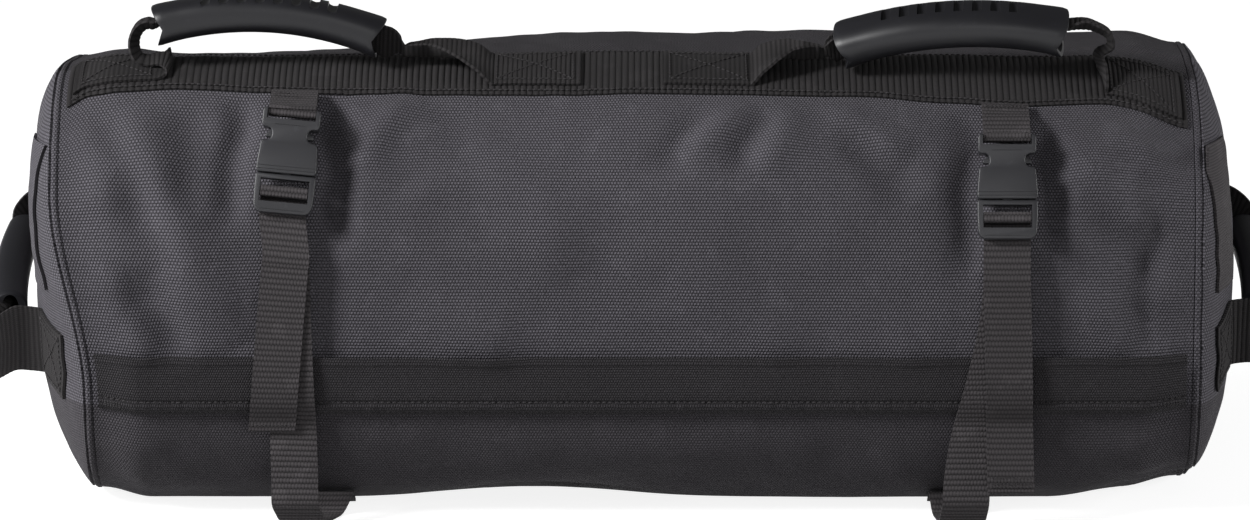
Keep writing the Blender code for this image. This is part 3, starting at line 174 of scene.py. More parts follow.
# Outer runs from patch to grip: out from the middle, height, share of the way to the grip's
# depth, half width, and fold in degrees
OUTER_RUNS = {
    "left": ((0.2512, 0.2415, 0.0, 0.0180, 4.0), (0.2496, 0.2436, 0.05, 0.0165, 8.0),
             (0.2506, 0.2466, 0.15, 0.0140, 16.0), (0.2560, 0.2474, 0.30, 0.0110, 24.0),
             (0.2616, 0.2462, 0.45, 0.0092, 32.0), (0.2656, 0.2476, 0.60, 0.0086, 38.0),
             (0.2670, 0.2522, 0.75, 0.0084, 42.0), (0.2664, 0.2570, 0.85, 0.0084, 42.0),
             (0.2640, 0.2606, 0.95, 0.0084, 42.0), (0.2612, 0.2618, 1.0, 0.0082, 42.0),
             (0.2586, 0.2616, 1.0, 0.0078, 42.0)),
    "right": ((0.2508, 0.2388, 0.0, 0.0175, 8.0), (0.2488, 0.2418, 0.1, 0.0145, 20.0),
              (0.2474, 0.2458, 0.2, 0.0110, 32.0), (0.2462, 0.2498, 0.35, 0.0085, 40.0),
              (0.2482, 0.2536, 0.5, 0.0075, 40.0), (0.2530, 0.2562, 0.65, 0.0070, 36.0),
              (0.2518, 0.2606, 0.8, 0.0072, 34.0), (0.2452, 0.2640, 0.9, 0.0080, 36.0),
              (0.2385, 0.2650, 1.0, 0.0085, 42.0)),
}

# Inner runs standing in the grip's end: share of the way from its end to the pinch, how far
# inside the end, half width, drop below the grip's middle line, and fold in degrees
INNER_STANDING = ((0.60, 0.0, 0.0112, 0.0060, 78.0), (0.30, 0.0, 0.0160, 0.0088, 81.0),
                  (0.0, -0.0005, 0.0184, 0.0098, 84.0), (0.0, 0.006, 0.0164, 0.0078, 85.0),
                  (0.0, 0.018, 0.0105, 0.0045, 84.0))
# End handles' runs from patch to grip: out from the hinge line, along it, half width and fold
END_RUNS = {
    "front": ((-0.0010, 0.0718, 0.0190, 0.0), (0.0060, 0.0716, 0.0190, 2.0),
              (0.0130, 0.0712, 0.0188, 4.0), (0.0190, 0.0700, 0.0185, 8.0),
              (0.0226, 0.0668, 0.0176, 14.0), (0.0230, 0.0624, 0.0160, 24.0),
              (0.0198, 0.0584, 0.0138, 38.0), (0.0155, 0.0550, 0.0112, 50.0),
              (0.0118, 0.0510, 0.0092, 56.0), (0.0108, 0.0420, 0.0085, 60.0)),
    "back": ((-0.0010, 0.0715, 0.0190, 0.0), (0.0035, 0.0680, 0.0180, 8.0),
             (0.0075, 0.0630, 0.0155, 20.0), (0.0100, 0.0580, 0.0125, 38.0),
             (0.0106, 0.0520, 0.0100, 55.0), (0.0108, 0.0420, 0.0085, 60.0)),
}

# Buckles
BUCKLE_TURNS = {"left": radians(5.5), "right": 0.0}
BUCKLE_HEIGHTS = {"left": 0.1905, "right": 0.179}
BUCKLE_XS = {"left": -0.1850, "right": 0.1975}
BUCKLE_LEAN = radians(21.0)
BUCKLE_HALF_WIDTH = 0.016
SOCKET = 0.0096
SOCKET_RIM = 0.0170
WAIST_LENGTH = 0.0075
FLANGE_TOP = 0.0290
SLOT_LENGTH = 0.0034
SOCKET_TOP = 0.0350
BAR = 0.0036
SLOT_WIDTH = 0.0260
POCKET = (0.0230, 0.0052, 0.0246)
PLUG = 0.0056
PLUG_BARS = (0.0030, 0.0052, 0.0030, 0.0042, 0.0058)
TONGUE = (0.0050, 0.0044, 0.0205)
ARM_THICKNESS = 0.0044
ARM_WIDTH = 0.0022
ARM_ROOT = 0.0072
ARM_STAND = 0.0010
BARB_LOW = 0.0191
BARB_LENGTH = 0.0046
BARB_REACH = 0.0132

# Straps
TAIL_ENDS = {"left": 0.055, "right": 0.021}
TAIL_DRIFTS = {"left": -0.009, "right": 0.004}
RUN_DRIFTS = {"left": 0.003, "right": -0.020}
LOOP_DRIFTS = {"left": 0.018, "right": -0.006}
STRAP_LAYER = 0.0005
STRAP_SLACK = 0.0010
STRAP_CLEAR = STRAP / 2 + GAP
TAB_BOW = 0.0035
TAB_ROOM = 0.0080
DROP_BELOW_PLUG = 0.0380
FOLD_HEIGHT = 0.0140
LOOP_FRONT = 0.1080
ANCHOR_LENGTH = 0.012
ANCHOR_LEAD = 0.0080
ANCHOR_HEIGHT = 0.0100

SECTION_STEPS = 720
SHARP = radians(35.0)
WEBBING_SHARP = radians(50.0)
SIDES = ((-1.0, "left"), (1.0, "right"))


def smooth_step(share):
    share = min(1.0, max(0.0, share))
    return share * share * (3.0 - 2.0 * share)


def ripple(x, y=0.0, z=0.0):
    """Smooth unevenness at a place, between about -1 and 1."""
    return noise.noise(Vector((x, y, z)))


def between(low, high, share):
    return low + (high - low) * share


def section_point(angle):
    """Point of the bag's section, seen from its middle, the angle rising from the front."""
    height = HALF_HEIGHT + (FLOOR_PRESS if sin(angle) < 0 else 0.0)
    across = (abs(cos(angle)) / HALF_DEPTH) ** SQUARENESS
    upward = (abs(sin(angle)) / height) ** SQUARENESS
    radius = (across + upward) ** (-1.0 / SQUARENESS)
    return -radius * cos(angle), radius * sin(angle)


ANGLES = [pi * step / SECTION_STEPS for step in range(-SECTION_STEPS, SECTION_STEPS + 1)]
SECTION = [section_point(angle) for angle in ANGLES]
GIRTHS = [0.0]
for before, after in zip(SECTION, SECTION[1:]):
    GIRTHS.append(GIRTHS[-1] + hypot(after[0] - before[0], after[1] - before[1]))
GIRTHS = [girth - GIRTHS[SECTION_STEPS] for girth in GIRTHS]
HALF_GIRTH = GIRTHS[-1]


def girth_angle(girth):
    girth = (girth + HALF_GIRTH) % (2 * HALF_GIRTH) - HALF_GIRTH
    after = min(len(GIRTHS) - 1, max(1, bisect.bisect_left(GIRTHS, girth)))
    share = (girth - GIRTHS[after - 1]) / (GIRTHS[after] - GIRTHS[after - 1])
    return ANGLES[after - 1] + share * (ANGLES[after] - ANGLES[after - 1])


def girth_at_angle(angle):
    return GIRTHS[round((angle + pi) / (2 * pi) * 2 * SECTION_STEPS)]


def girth_at_height(height):
    """Distance round the section at a height above the floor, on the front."""
    low, high = SECTION_STEPS // 2, SECTION_STEPS + SECTION_STEPS // 2
    heights = [SECTION[number][1] + MIDDLE for number in range(low, high)]
    return GIRTHS[low + bisect.bisect_left(heights, height)]


def section_normal(angle):
    """Outward direction of the section at an angle, across and up."""
    step = pi / SECTION_STEPS
    before, after = section_point(angle - step), section_point(angle + step)
    along = Vector((after[0] - before[0], after[1] - before[1])).normalized()
    return Vector((-along.y, along.x))


BAND_GIRTH = girth_at_height(BAND_LOWER_HEIGHT) + BAND_WIDTH / 2
FLAP_LOW = girth_at_height(FLAP_SEAM_HEIGHT)
FLAP_HIGH = girth_at_height(FLAP_EDGE_HEIGHT)
FLAP_SEWN = girth_at_height(FLAP_SEWN_HEIGHT)
ZIP_GIRTH = girth_at_height(ZIP_HEIGHT)
FLAP_STITCHES = [girth_at_height(height) for height in FLAP_STITCH_HEIGHTS]

# Creases of the filled cloth on its front and top: start and end along the bag and round it,
# half width and height, where a negative height is a valley
CREASES = (
    (-0.285, 0.120, -0.245, 0.020, 0.010, -0.0046),
    (-0.274, 0.108, -0.214, -0.020, 0.016, 0.0042),
    (-0.262, 0.020, -0.250, -0.045, 0.012, -0.0038),
    (-0.275, -0.010, -0.225, -0.050, 0.010, 0.0028),
    (-0.236, 0.112, -0.232, 0.050, 0.010, -0.0030),
    (-0.2110, 0.120, -0.2160, 0.040, 0.008, -0.0048),
    (-0.1610, 0.122, -0.1560, 0.030, 0.010, -0.0052),
    (-0.1170, 0.122, -0.1470, 0.080, 0.008, 0.0034),
    (-0.140, 0.098, -0.118, 0.060, 0.012, -0.0026),
    (-0.100, 0.118, -0.096, 0.070, 0.014, -0.0020),
    (-0.075, 0.085, -0.030, 0.020, 0.020, 0.0024),
    (0.0590, 0.118, 0.0260, 0.078, 0.008, 0.0028),
    (0.0400, 0.112, 0.0100, 0.070, 0.010, -0.0022),
    (0.0870, 0.118, 0.0680, 0.070, 0.009, 0.0026),
    (0.0740, 0.116, 0.0560, 0.072, 0.008, -0.0024),
    (0.1010, 0.118, 0.1450, 0.080, 0.009, 0.0030),
    (0.110, 0.102, 0.150, 0.060, 0.010, -0.0026),
    (0.1790, 0.112, 0.1770, 0.010, 0.009, -0.0046),
    (0.2190, 0.112, 0.2200, 0.030, 0.009, -0.0040),
    (0.236, 0.100, 0.262, 0.040, 0.012, 0.0030),
    (0.240, 0.060, 0.290, 0.010, 0.011, -0.0040),
    (0.236, 0.010, 0.285, -0.040, 0.012, 0.0030),
    (0.250, 0.105, 0.292, 0.070, 0.009, 0.0030),
    (0.280, 0.060, 0.270, -0.050, 0.009, -0.0038),
    (0.268, 0.080, 0.284, 0.030, 0.008, -0.0026),
    (-0.120, 0.010, -0.060, -0.030, 0.016, 0.0020),
    (0.020, 0.020, 0.090, -0.020, 0.018, 0.0018),
)
CREASE_GAIN = 1.45               # of every crease's height
CREASE_PAST = 0.04               # along the bag beyond a crease's ends, where it can still wander
CREASE_WANDER = 0.006
CREASE_FADE = 0.4                # share of its length over which a crease rises from a quarter


def crease_height(x, girth):
    total = 0.0
    for x0, g0, x1, g1, half_width, height in CREASES:
        if not min(x0, x1) - CREASE_PAST < x < max(x0, x1) + CREASE_PAST:
            continue
        run_x, run_g = x1 - x0, g1 - g0
        length = hypot(run_x, run_g)
        along = ((x - x0) * run_x + (girth - g0) * run_g) / length
        if not 0.0 <= along <= length:
            continue
        aside = ((x - x0) * run_g - (girth - g0) * run_x) / length
        aside += CREASE_WANDER * ripple(along * 30.0, x0 * 90.0)
        fade = smooth_step(min(along, length - along) / (CREASE_FADE * length) + 0.25)
        total += CREASE_GAIN * height * exp(-(aside / half_width) ** 2) * fade
    return total


# Cloth held down by a strap: where round the bag its two runs begin to part and over what
# length, half the width under one run, and the soft edge beside it
STRAP_PARTS, STRAP_PARTING, STRAP_HOLD, STRAP_HOLD_EDGE = 0.080, 0.180, 0.012, 0.007


def strap_share(x, girth):
    """1 on the cloth under a buckle and its strap, falling to 0 beside them."""
    down, share = smooth_step((STRAP_PARTS - girth) / STRAP_PARTING), 0.0
    for word, buckle_x in BUCKLE_XS.items():
        tail, run = TAIL_DRIFTS[word], RUN_DRIFTS[word]
        half = STRAP_HOLD + abs(tail - run) / 2 * down
        aside = max(0.0, abs(x - buckle_x - (tail + run) / 2 * down) - half)
        share = max(share, exp(-(aside / STRAP_HOLD_EDGE) ** 2))
    return share


# Unevenness of the cloth, each line a height, waves along the bag with a start, waves round it
# and a slant of them; then the puckers beside the end seams, their place and their reach
WAVES = ((0.0030, 9.0, 0.0, 11.0, 0.0, 3.7), (0.0016, 24.0, 5.0, 30.0, 0.0, 9.1),
         (0.0006, 60.0, 0.0, 55.0, 40.0, 2.2))
PUCKER, PUCKER_PLACE, PUCKER_REACH = 0.0016, 0.016, 0.030
# Widths over which the cloth calms down: at the end seams, underneath and at the closing line
# behind, on the band (for hollows, for rises further), and over the zip
END_CALM, UNDER_GIRTH, UNDER_CALM = 0.030, -0.165, 0.05
BAND_CALM, BAND_RISE_CALM, ZIP_CALM = 0.040, 1.3, 0.016
STRAP_PRESS = 0.9                # share of a rise that a strap presses flat


def wrinkle(x, girth):
    """How far the cloth stands off the bag's rounded form."""
    to_end = HALF_PANEL - abs(x)
    total = crease_height(x, girth)
    for height, along, start, around, slant, seed in WAVES:
        total += height * ripple(x * along + start, girth * around + x * slant, seed)
    pucker = PUCKER * ripple(x * 12.0, girth * 85.0, 4.4)
    pucker *= smooth_step(1.0 - abs(to_end - PUCKER_PLACE) / PUCKER_REACH)
    under = smooth_step((girth - UNDER_GIRTH) / UNDER_CALM)
    under *= smooth_step((HALF_GIRTH - girth) / UNDER_CALM)
    total = (total * smooth_step(to_end / END_CALM) + pucker) * under - lower_tuck(x, girth)
    from_band, from_zip = abs(girth - BAND_GIRTH) / BAND_CALM, girth - ZIP_GIRTH
    if total < 0.0:
        on_band, on_zip = smooth_step(1.0 - from_band), smooth_step(1.5 - abs(from_zip) / ZIP_CALM)
        return total * (1.0 - 0.75 * on_band) * (1.0 - 0.9 * on_zip)
    laden = strap_share(x, girth) * smooth_step((BAND_GIRTH - girth) / 0.02)
    on_band = smooth_step(BAND_RISE_CALM - from_band)
    on_zip = smooth_step(1.8 - abs(from_zip + PULLER_DROP) / ZIP_CALM)
    return total * (1.0 - STRAP_PRESS * laden) * (1.0 - on_band) * (1.0 - on_zip)


# The lower front edge, drawn in: all along, in a dip (depth, place, half width) and towards the
# right end (depth, start, length); and its place and half width round the bag
TUCK, TUCK_DIP, TUCK_RIGHT = 0.0020, (0.0080, -0.055, 0.055), (0.0110, 0.225, 0.065)
TUCK_GIRTH, TUCK_HALF = -0.150, 0.038


def lower_tuck(x, girth):
    """How far the cloth is drawn in along the lower front edge."""
    dip, dip_x, dip_half = TUCK_DIP
    right, right_x, right_length = TUCK_RIGHT
    tuck = TUCK + dip * exp(-((x - dip_x) / dip_half) ** 2)
    tuck += right * smooth_step((x - right_x) / right_length)
    return tuck * exp(-((girth - TUCK_GIRTH) / TUCK_HALF) ** 2)


# Twist of the left end seam: along the bag below and above, where round the bag it changes over
# and how softly, how far round it reaches, and how far along the bag it spreads
TWIST_LOW, TWIST_HIGH, TWIST_GIRTH, TWIST_CHANGE = 0.0080, -0.0090, -0.050, 0.115
TWIST_ROUND, TWIST_ROUND_FADE, TWIST_START, TWIST_LENGTH = 0.30, 0.15, 0.205, 0.093


def seam_shift(x, girth):
    """How far the left end seam has twisted along the bag, spread over the cloth beside it."""
    shift = between(TWIST_LOW, TWIST_HIGH, smooth_step((girth - TWIST_GIRTH) / TWIST_CHANGE))
    shift *= smooth_step((TWIST_ROUND - abs(girth)) / TWIST_ROUND_FADE)
    return shift * smooth_step((-x - TWIST_START) / TWIST_LENGTH)


# Unevenness of an end panel, each line a height, waves across the panel and a start; its share
# that shows; and how far in from the rim the waves and the puckers begin
END_WAVES = ((0.0030, 16.0, 8.0), (0.0014, 45.0, 5.0))
END_SOFTNESS, END_WAVES_IN, END_PUCKERS_IN = 0.6, 0.2, 0.05


def end_place(side, y, z):
    """Outer face of an end panel's soft cloth along the bag, at a place from the middle."""
    angle = atan2(z, -y)
    share = min(1.0, hypot(y, z) / (hypot(*section_point(angle)) * END_SHRINK))
    soft = sum(height * ripple(y * waves, z * waves, side * seed)
               for height, waves, seed in END_WAVES)
    soft *= smooth_step((1.0 - share) / END_WAVES_IN)
    pucker = PUCKER * ripple(angle * 9.0, share * 3.0, side * 3.0)
    pucker *= smooth_step((pi - abs(angle)) / 0.5) * smooth_step((share - 0.55) / 0.3)
    soft += pucker * smooth_step((1.0 - share) / END_PUCKERS_IN)
    bulge = END_BULGE * (1.0 - share ** BULGE_POWER) ** BULGE_FULLNESS
    twist = seam_shift(side * HALF_PANEL, girth_at_angle(angle))
    return (side * (END_SEAM_X + FABRIC + bulge + END_SOFTNESS * soft)
            + twist * smooth_step(share * 1.6 - 0.6))


def slide(x):
    """How far the cloth has slid up its shoulder at a place along the bag."""
    for (low, first), (high, last) in zip(SLIDES, SLIDES[1:]):
        if x <= high:
            return between(first, last, smooth_step((x - low) / (high - low)))
    return SLIDES[-1][1]


def slump(share, y, z):
    """How much lower the filling has left the top at a place seen from the section's middle."""
    back = smooth_step((y + SLUMP_FRONT) / SLUMP_REACH)
    return LEFT_SLUMP * share * max(0.0, z / HALF_HEIGHT) * back


def end_slump(side, y, z):
    """The slump of an end panel, which only the left one has."""
    return slump(END_SLUMP * (side < 0), y, z)


def form_point(x, girth, lift=0.0):
    """World point over the bag's rounded form, lifted off it along its normal."""
    slid = slide(x) * smooth_step(1.0 - abs(girth - BAND_GIRTH) / SLIDE_REACH)
    angle = girth_angle(girth + slid)
    y, z = section_point(angle)
    normal = section_normal(angle)
    drawn = DRAW_IN * smooth_step((abs(x) - HALF_PANEL + DRAW_IN_LENGTH) / DRAW_IN_LENGTH)
    held = 1.0 - (1.0 - END_SLUMP) * smooth_step((-x - HELD_FROM) / HELD_LENGTH)
    lowered = slump(smooth_step(-x / SLUMP_LENGTH) * held, y, z)
    shrink = 1.0 - drawn / HALF_HEIGHT
    return Vector((x + seam_shift(x, girth), y * shrink + normal.x * lift + SHIFT_Y,
                   MIDDLE + z * shrink - lowered + normal.y * lift))


def cloth_point(x, girth, lift=0.0):
    """World point on the creased cloth of the bag's tube, lifted off it along its normal."""
    place = form_point(x, girth, lift + wrinkle(x, girth))
    place.z = max(place.z, 0.0, lift)
    return place


# Modelling helpers

def deselect_all():
    if bpy.context.mode != "OBJECT":
        bpy.ops.object.mode_set(mode="OBJECT")
    bpy.ops.object.select_all(action="DESELECT")


def activate(piece):
    deselect_all()
    piece.select_set(True)
    bpy.context.view_layer.objects.active = piece


def edit_mesh(piece, *steps):
    """Run mesh operators on the whole of a piece."""
    activate(piece)
    bpy.ops.object.mode_set(mode="EDIT")
    bpy.ops.mesh.select_all(action="SELECT")
    for step in steps:
        step()
    bpy.ops.object.mode_set(mode="OBJECT")


def weld():
    bpy.ops.mesh.remove_doubles(threshold=WELD)


def face_outwards():
    bpy.ops.mesh.normals_make_consistent(inside=False)


def shaped_grid(name, columns, rows, place, chart):
    """A grid whose points lie at place(column, row), with chart(column, row) as its UV map."""
    deselect_all()
    bpy.ops.mesh.primitive_grid_add(x_subdivisions=columns, y_subdivisions=rows, size=1.0)
    piece = bpy.context.object
    mesh = piece.data
    piece.name = mesh.name = name
    flat = np.empty(len(mesh.vertices) * 3)
    mesh.vertices.foreach_get("co", flat)
    numbers = np.rint((flat.reshape(-1, 3)[:, :2] + 0.5) * (columns, rows)).astype(int).tolist()
    mesh.vertices.foreach_set("co", np.array([place(*number) for number in numbers]).ravel())
    charts = np.array([chart(*number) for number in numbers])
    corners = np.empty(len(mesh.loops), dtype=np.int32)
    mesh.loops.foreach_get("vertex_index", corners)
    mesh.uv_layers.active.data.foreach_set("uv", charts[corners].ravel())
    mesh.update()
    return piece


def bag_grid(name, xs, girths, place):
    """A grid over the given lines along and round the bag, its UV map those two measures."""
    return shaped_grid(name, len(xs) - 1, len(girths) - 1,
                       lambda column, row: place(xs[column], girths[row]),
                       lambda column, row: (xs[column], girths[row]))


def apply_all(piece):
    activate(piece)
    for modifier in list(piece.modifiers):
        bpy.ops.object.modifier_apply(modifier=modifier.name)


def thicken(piece, thickness, side):
    wall = piece.modifiers.new("wall", "SOLIDIFY")
    wall.thickness = thickness
    wall.offset = side


def smooth(piece, angle=SHARP):
    activate(piece)
    bpy.ops.object.shade_smooth_by_angle(angle=angle)


def finish_piece(piece, look, body, slot, *nodes):
    piece.data.materials.clear()
    piece.data.materials.append(look)
    if body:
        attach(piece, body)
    if nodes:
        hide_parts(*nodes)
    return piece


def spread(low, high, step):
    count = max(1, ceil((high - low) / step))
    return [between(low, high, number / count) for number in range(count + 1)]


def laid_sheet(name, xs, girths, lift, thickness):
    """Cloth or webbing laid on the bag, over the given lines along and round it."""
    piece = bag_grid(name, xs, girths, lambda x, girth: cloth_point(x, girth, lift(x, girth)))
    thicken(piece, thickness, 1.0)
    apply_all(piece)
    smooth(piece)
    return piece


def rib_profile(distance, pitch):
    """Rounded ribs across webbing, from 0 between them to 1 on top."""
    return abs(sin(pi * distance / pitch)) ** 0.7


def rounded_path(corners, radius, steps):
    """Points along straight runs whose corners are turned on arcs of one radius."""
    points = [corners[0]]
    for before, corner, after in zip(corners, corners[1:], corners[2:]):
        back, on = before - corner, after - corner
        reach = min(radius, back.length / 2, on.length / 2)
        start, end = corner + back.normalized() * reach, corner + on.normalized() * reach
        for step in range(steps + 1):
            share = step / steps
            points.append(start * (1 - share) ** 2 + corner * 2 * share * (1 - share)
                          + end * share ** 2)
    points.append(corners[-1])
    spaced = [points[0]]
    for point in points[1:]:
        if (point - spaced[-1]).length > GAP:
            spaced.append(point)
    return spaced


def folded_row(centre, across, outward, half_width, fold, cells):
    """One line across webbing: flat, or folded towards its outward side by an angle."""
    row = []
    for cell in range(cells + 1):
        reach = (2.0 * cell / cells - 1.0) * half_width
        rise = sqrt(reach * reach + FOLD_ROUND ** 2) - FOLD_ROUND
        row.append(centre + across * (reach * cos(fold)) + outward * (rise * sin(fold)))
    return row


def catmull(a, b, c, d, t):
    """Place at a share t of the way from b to c on a smooth curve through a, b, c and d."""
    bend, twist = 2 * a - 5 * b + 4 * c - d, 3 * b - a - 3 * c + d
    return 0.5 * (2 * b + (c - a) * t + bend * t * t + twist * t ** 3)


def loft_webbing(name, rows, width, thickness, pitch, rib_height):
    """Ribbed webbing through the given lines across it, smoothed along its length."""
    keys = np.array([[tuple(point) for point in row] for row in rows])
    cells, last = keys.shape[1] - 1, len(keys) - 1
    gaps = np.linalg.norm(np.diff(keys[:, cells // 2], axis=0), axis=1)
    lengths = np.concatenate(([0.0], np.cumsum(gaps)))
    total = lengths[-1]
    count = ceil(total / (pitch / RIB_CELLS))
    lines = []
    for number in range(count + 1):
        distance = total * number / count
        segment = min(last - 1, max(0, int(np.searchsorted(lengths, distance, "right")) - 1))
        share = (distance - lengths[segment]) / max(1e-9, lengths[segment + 1] - lengths[segment])
        quad = [keys[min(last, max(0, segment + offset))] for offset in (-1, 0, 1, 2)]
        lines.append(catmull(*quad, share))
    grid = np.array(lines)
    normals = np.cross(np.gradient(grid, axis=0), np.gradient(grid, axis=1))
    normals /= np.maximum(1e-12, np.linalg.norm(normals, axis=2, keepdims=True))
    for number in range(count + 1):
        rib = rib_profile(total * number / count, pitch)
        for cell in range(cells + 1):
            from_edge = (1.0 - abs(2.0 * cell / cells - 1.0)) * width / 2
            rise = rib_height * (rib - 0.5) * smooth_step(from_edge / SELVAGE)
            grid[number, cell] += normals[number, cell] * rise
    piece = shaped_grid(name, count, cells, lambda column, row: grid[column, row],
                        lambda column, row: (total * column / count, width * row / cells))
    thicken(piece, thickness, 0.0)
    apply_all(piece)
    smooth(piece, WEBBING_SHARP)
    return piece


# Stitches: from one to the next, length and thickness of the thread; and how far they stand up
STITCHES = {"patch": (0.0032, 0.0024, 0.0008), "flap": (STITCH_PITCH, 0.0022, 0.0010),
            "tack": (0.0016, 0.0015, 0.0008), "band": (0.0030, 0.0022, 0.0009),
            "strap": (0.0022, 0.0017, 0.0006), "coil": (0.0015, 0.0011, 0.0013)}
STITCH_RISE = 0.0003
STITCH = {}


def stitch_template():
    """One stitch: a short rounded thread lying along X, a few dozen faces."""
    if not STITCH:
        deselect_all()
        bpy.ops.mesh.primitive_uv_sphere_add(segments=6, ring_count=5, radius=0.5)
        bead = bpy.context.object
        edit_mesh(bead, lambda: bpy.ops.transform.rotate(
            value=pi / 2, orient_axis="Y", center_override=(0.0, 0.0, 0.0)))
        STITCH["points"] = np.array([tuple(vertex.co) for vertex in bead.data.vertices])
        STITCH["faces"] = [tuple(face.vertices) for face in bead.data.polygons]
        bpy.data.objects.remove(bead)
    return STITCH["points"], STITCH["faces"]


def stitch_rows(name, rows, kind="patch"):
    """Rows of stitches, each row a list of points and outward directions along it."""
    pitch, length, thread = STITCHES[kind]
    points, faces = stitch_template()
    places, all_faces = [], []
    for row in rows:
        distance, target = 0.0, pitch / 2
        for (start, first), (end, last) in zip(row, row[1:]):
            start, end, first, last = Vector(start), Vector(end), Vector(first), Vector(last)
            gap = (end - start).length
            while gap > 0 and distance + gap >= target:
                share = (target - distance) / gap
                along = (end - start).normalized()
                outward = first.lerp(last, share)
                outward = (outward - along * outward.dot(along)).normalized()
                aside = outward.cross(along)
                turn = np.array([along * length, aside * thread, outward * thread])
                offset = len(places) * len(points)
                places.append(points @ turn + np.array(start.lerp(end, share)))
                all_faces += [tuple(corner + offset for corner in face) for face in faces]
                target += pitch
            distance += gap
    mesh = bpy.data.meshes.new(name)
    mesh.from_pydata(np.concatenate(places).tolist(), [], all_faces)
    mesh.shade_smooth()
    piece = bpy.data.objects.new(name, mesh)
    bpy.context.scene.collection.objects.link(piece)
    return finish_piece(piece, thread_look(), "bag", "webbing")


def cloth_row(start, end, lift, step=0.004):
    """Points and outward directions between two places (along, round) on the bag's cloth."""
    count = max(2, ceil(hypot(end[0] - start[0], end[1] - start[1]) / step))
    row = []
    for number in range(count + 1):
        share = number / count
        x, girth = between(start[0], end[0], share), between(start[1], end[1], share)
        normal = section_normal(girth_angle(girth))
        row.append((cloth_point(x, girth, lift), (0.0, normal.x, normal.y)))
    return row


def box_stitch(x0, x1, g0, g1, lift):
    """A sewn box with its two diagonals."""
    corners = [(x0, g0), (x1, g0), (x1, g1), (x0, g1), (x0, g0)]
    rows = [cloth_row(start, end, lift) for start, end in zip(corners, corners[1:])]
    return rows + [cloth_row((x0, g0), (x1, g1), lift), cloth_row((x0, g1), (x1, g0), lift)]


# Materials

class Nodes:
    """Short calls for the nodes of one material or node group."""

    def __init__(self, tree):
        self.tree = tree

    def add(self, kind, inputs=None, **settings):
        node = self.tree.nodes.new(kind)
        for name, value in settings.items():
            setattr(node, name, value)
        for name, value in (inputs or {}).items():
            self.feed(node.inputs[name], value)
        return node

    def feed(self, socket, value):
        if isinstance(value, bpy.types.NodeSocket):
            self.tree.links.new(value, socket)
        else:
            socket.default_value = value

    def math(self, operation, *values):
        return self.add("ShaderNodeMath", dict(enumerate(values)), operation=operation).outputs[0]

    def mix(self, share, first, second):
        return self.add("ShaderNodeMix", {0: share, 6: first, 7: second},
                        data_type="RGBA").outputs[2]

    def coordinate(self, name):
        return self.add("ShaderNodeTexCoord").outputs[name]

    def parts(self, vector):
        return self.add("ShaderNodeSeparateXYZ", {0: vector}).outputs

    def noise(self, place, scale, detail):
        given = {"Vector": place, "Scale": scale, "Detail": detail}
        return self.add("ShaderNodeTexNoise", given).outputs["Fac"]

    def toned(self, colour, value):
        """A colour made lighter or darker."""
        given = {"Color": colour, "Value": value}
        return self.add("ShaderNodeHueSaturation", given).outputs[0]

    def ridges(self, value):
        """Rounded ridges, one for each whole step of a value."""
        return self.math("ABSOLUTE", self.math("SINE", self.math("MULTIPLY", value, pi)))

    def group(self, name, inputs):
        if name not in GROUPS:
            GROUPS[name] = GROUP_MAKERS[name]()
        return self.add("ShaderNodeGroup", inputs, node_tree=GROUPS[name]).outputs

    def finish(self, shader, colour, height, strength, distance, roughness=None):
        """Feed a material's shader its colour and bump, and its roughness where that varies."""
        given = {"Strength": strength, "Distance": distance, "Height": height}
        self.feed(shader.inputs["Base Color"], colour)
        self.feed(shader.inputs["Normal"], self.add("ShaderNodeBump", given).outputs[0])
        if roughness is not None:
            self.feed(shader.inputs["Roughness"], roughness)


def new_group(name, inputs, outputs):
    """A shader node group with named inputs, each a kind and a default, and named outputs."""
    group = bpy.data.node_groups.new(name, "ShaderNodeTree")
    for label, (kind, value) in inputs.items():
        socket = group.interface.new_socket(name=label, in_out="INPUT", socket_type=kind)
        if value is not None:
            socket.default_value = value
    for label, kind in outputs.items():
        group.interface.new_socket(name=label, in_out="OUTPUT", socket_type=kind)
    nodes = Nodes(group)
    return group, nodes, nodes.add("NodeGroupInput").outputs, nodes.add("NodeGroupOutput").inputs


CLOTH_SPECULAR, CLOTH_SHEEN = 0.10, 0.02
WEAVE_SLANT = 0.5                # of each row of threads against the one below
WEAVE_BUMP = 0.0005
THREAD_ROUNDNESS = 0.9
UNDER_GAIN = 1.6                 # of the cloth below the flap over the top cloth's colour; that darker cloth is partly painted shade on the downward-facing lower front
TOP_CALM, UNDER_CLOTH_CALM = 0.6, 0.2    # share of the weave's gaps that smoother cloth hides
SEAM_SHADE_HALF = 0.0019               # half width of the painted shade line along a sewn row
SCUFFED_FROM, SCUFF_LIGHT = 0.62, 1.7    # of the noise, and how much lighter a scuff is
GAP_SHADE = 0.18                  # painted shade: share of the cloth's colour left between its threads
RUBBED_FROM, RUB_SHARE, RUB_LIGHT = 0.66, 0.35, 1.8
FLOAT, COLOUR, VECTOR = "NodeSocketFloat", "NodeSocketColor", "NodeSocketVector"


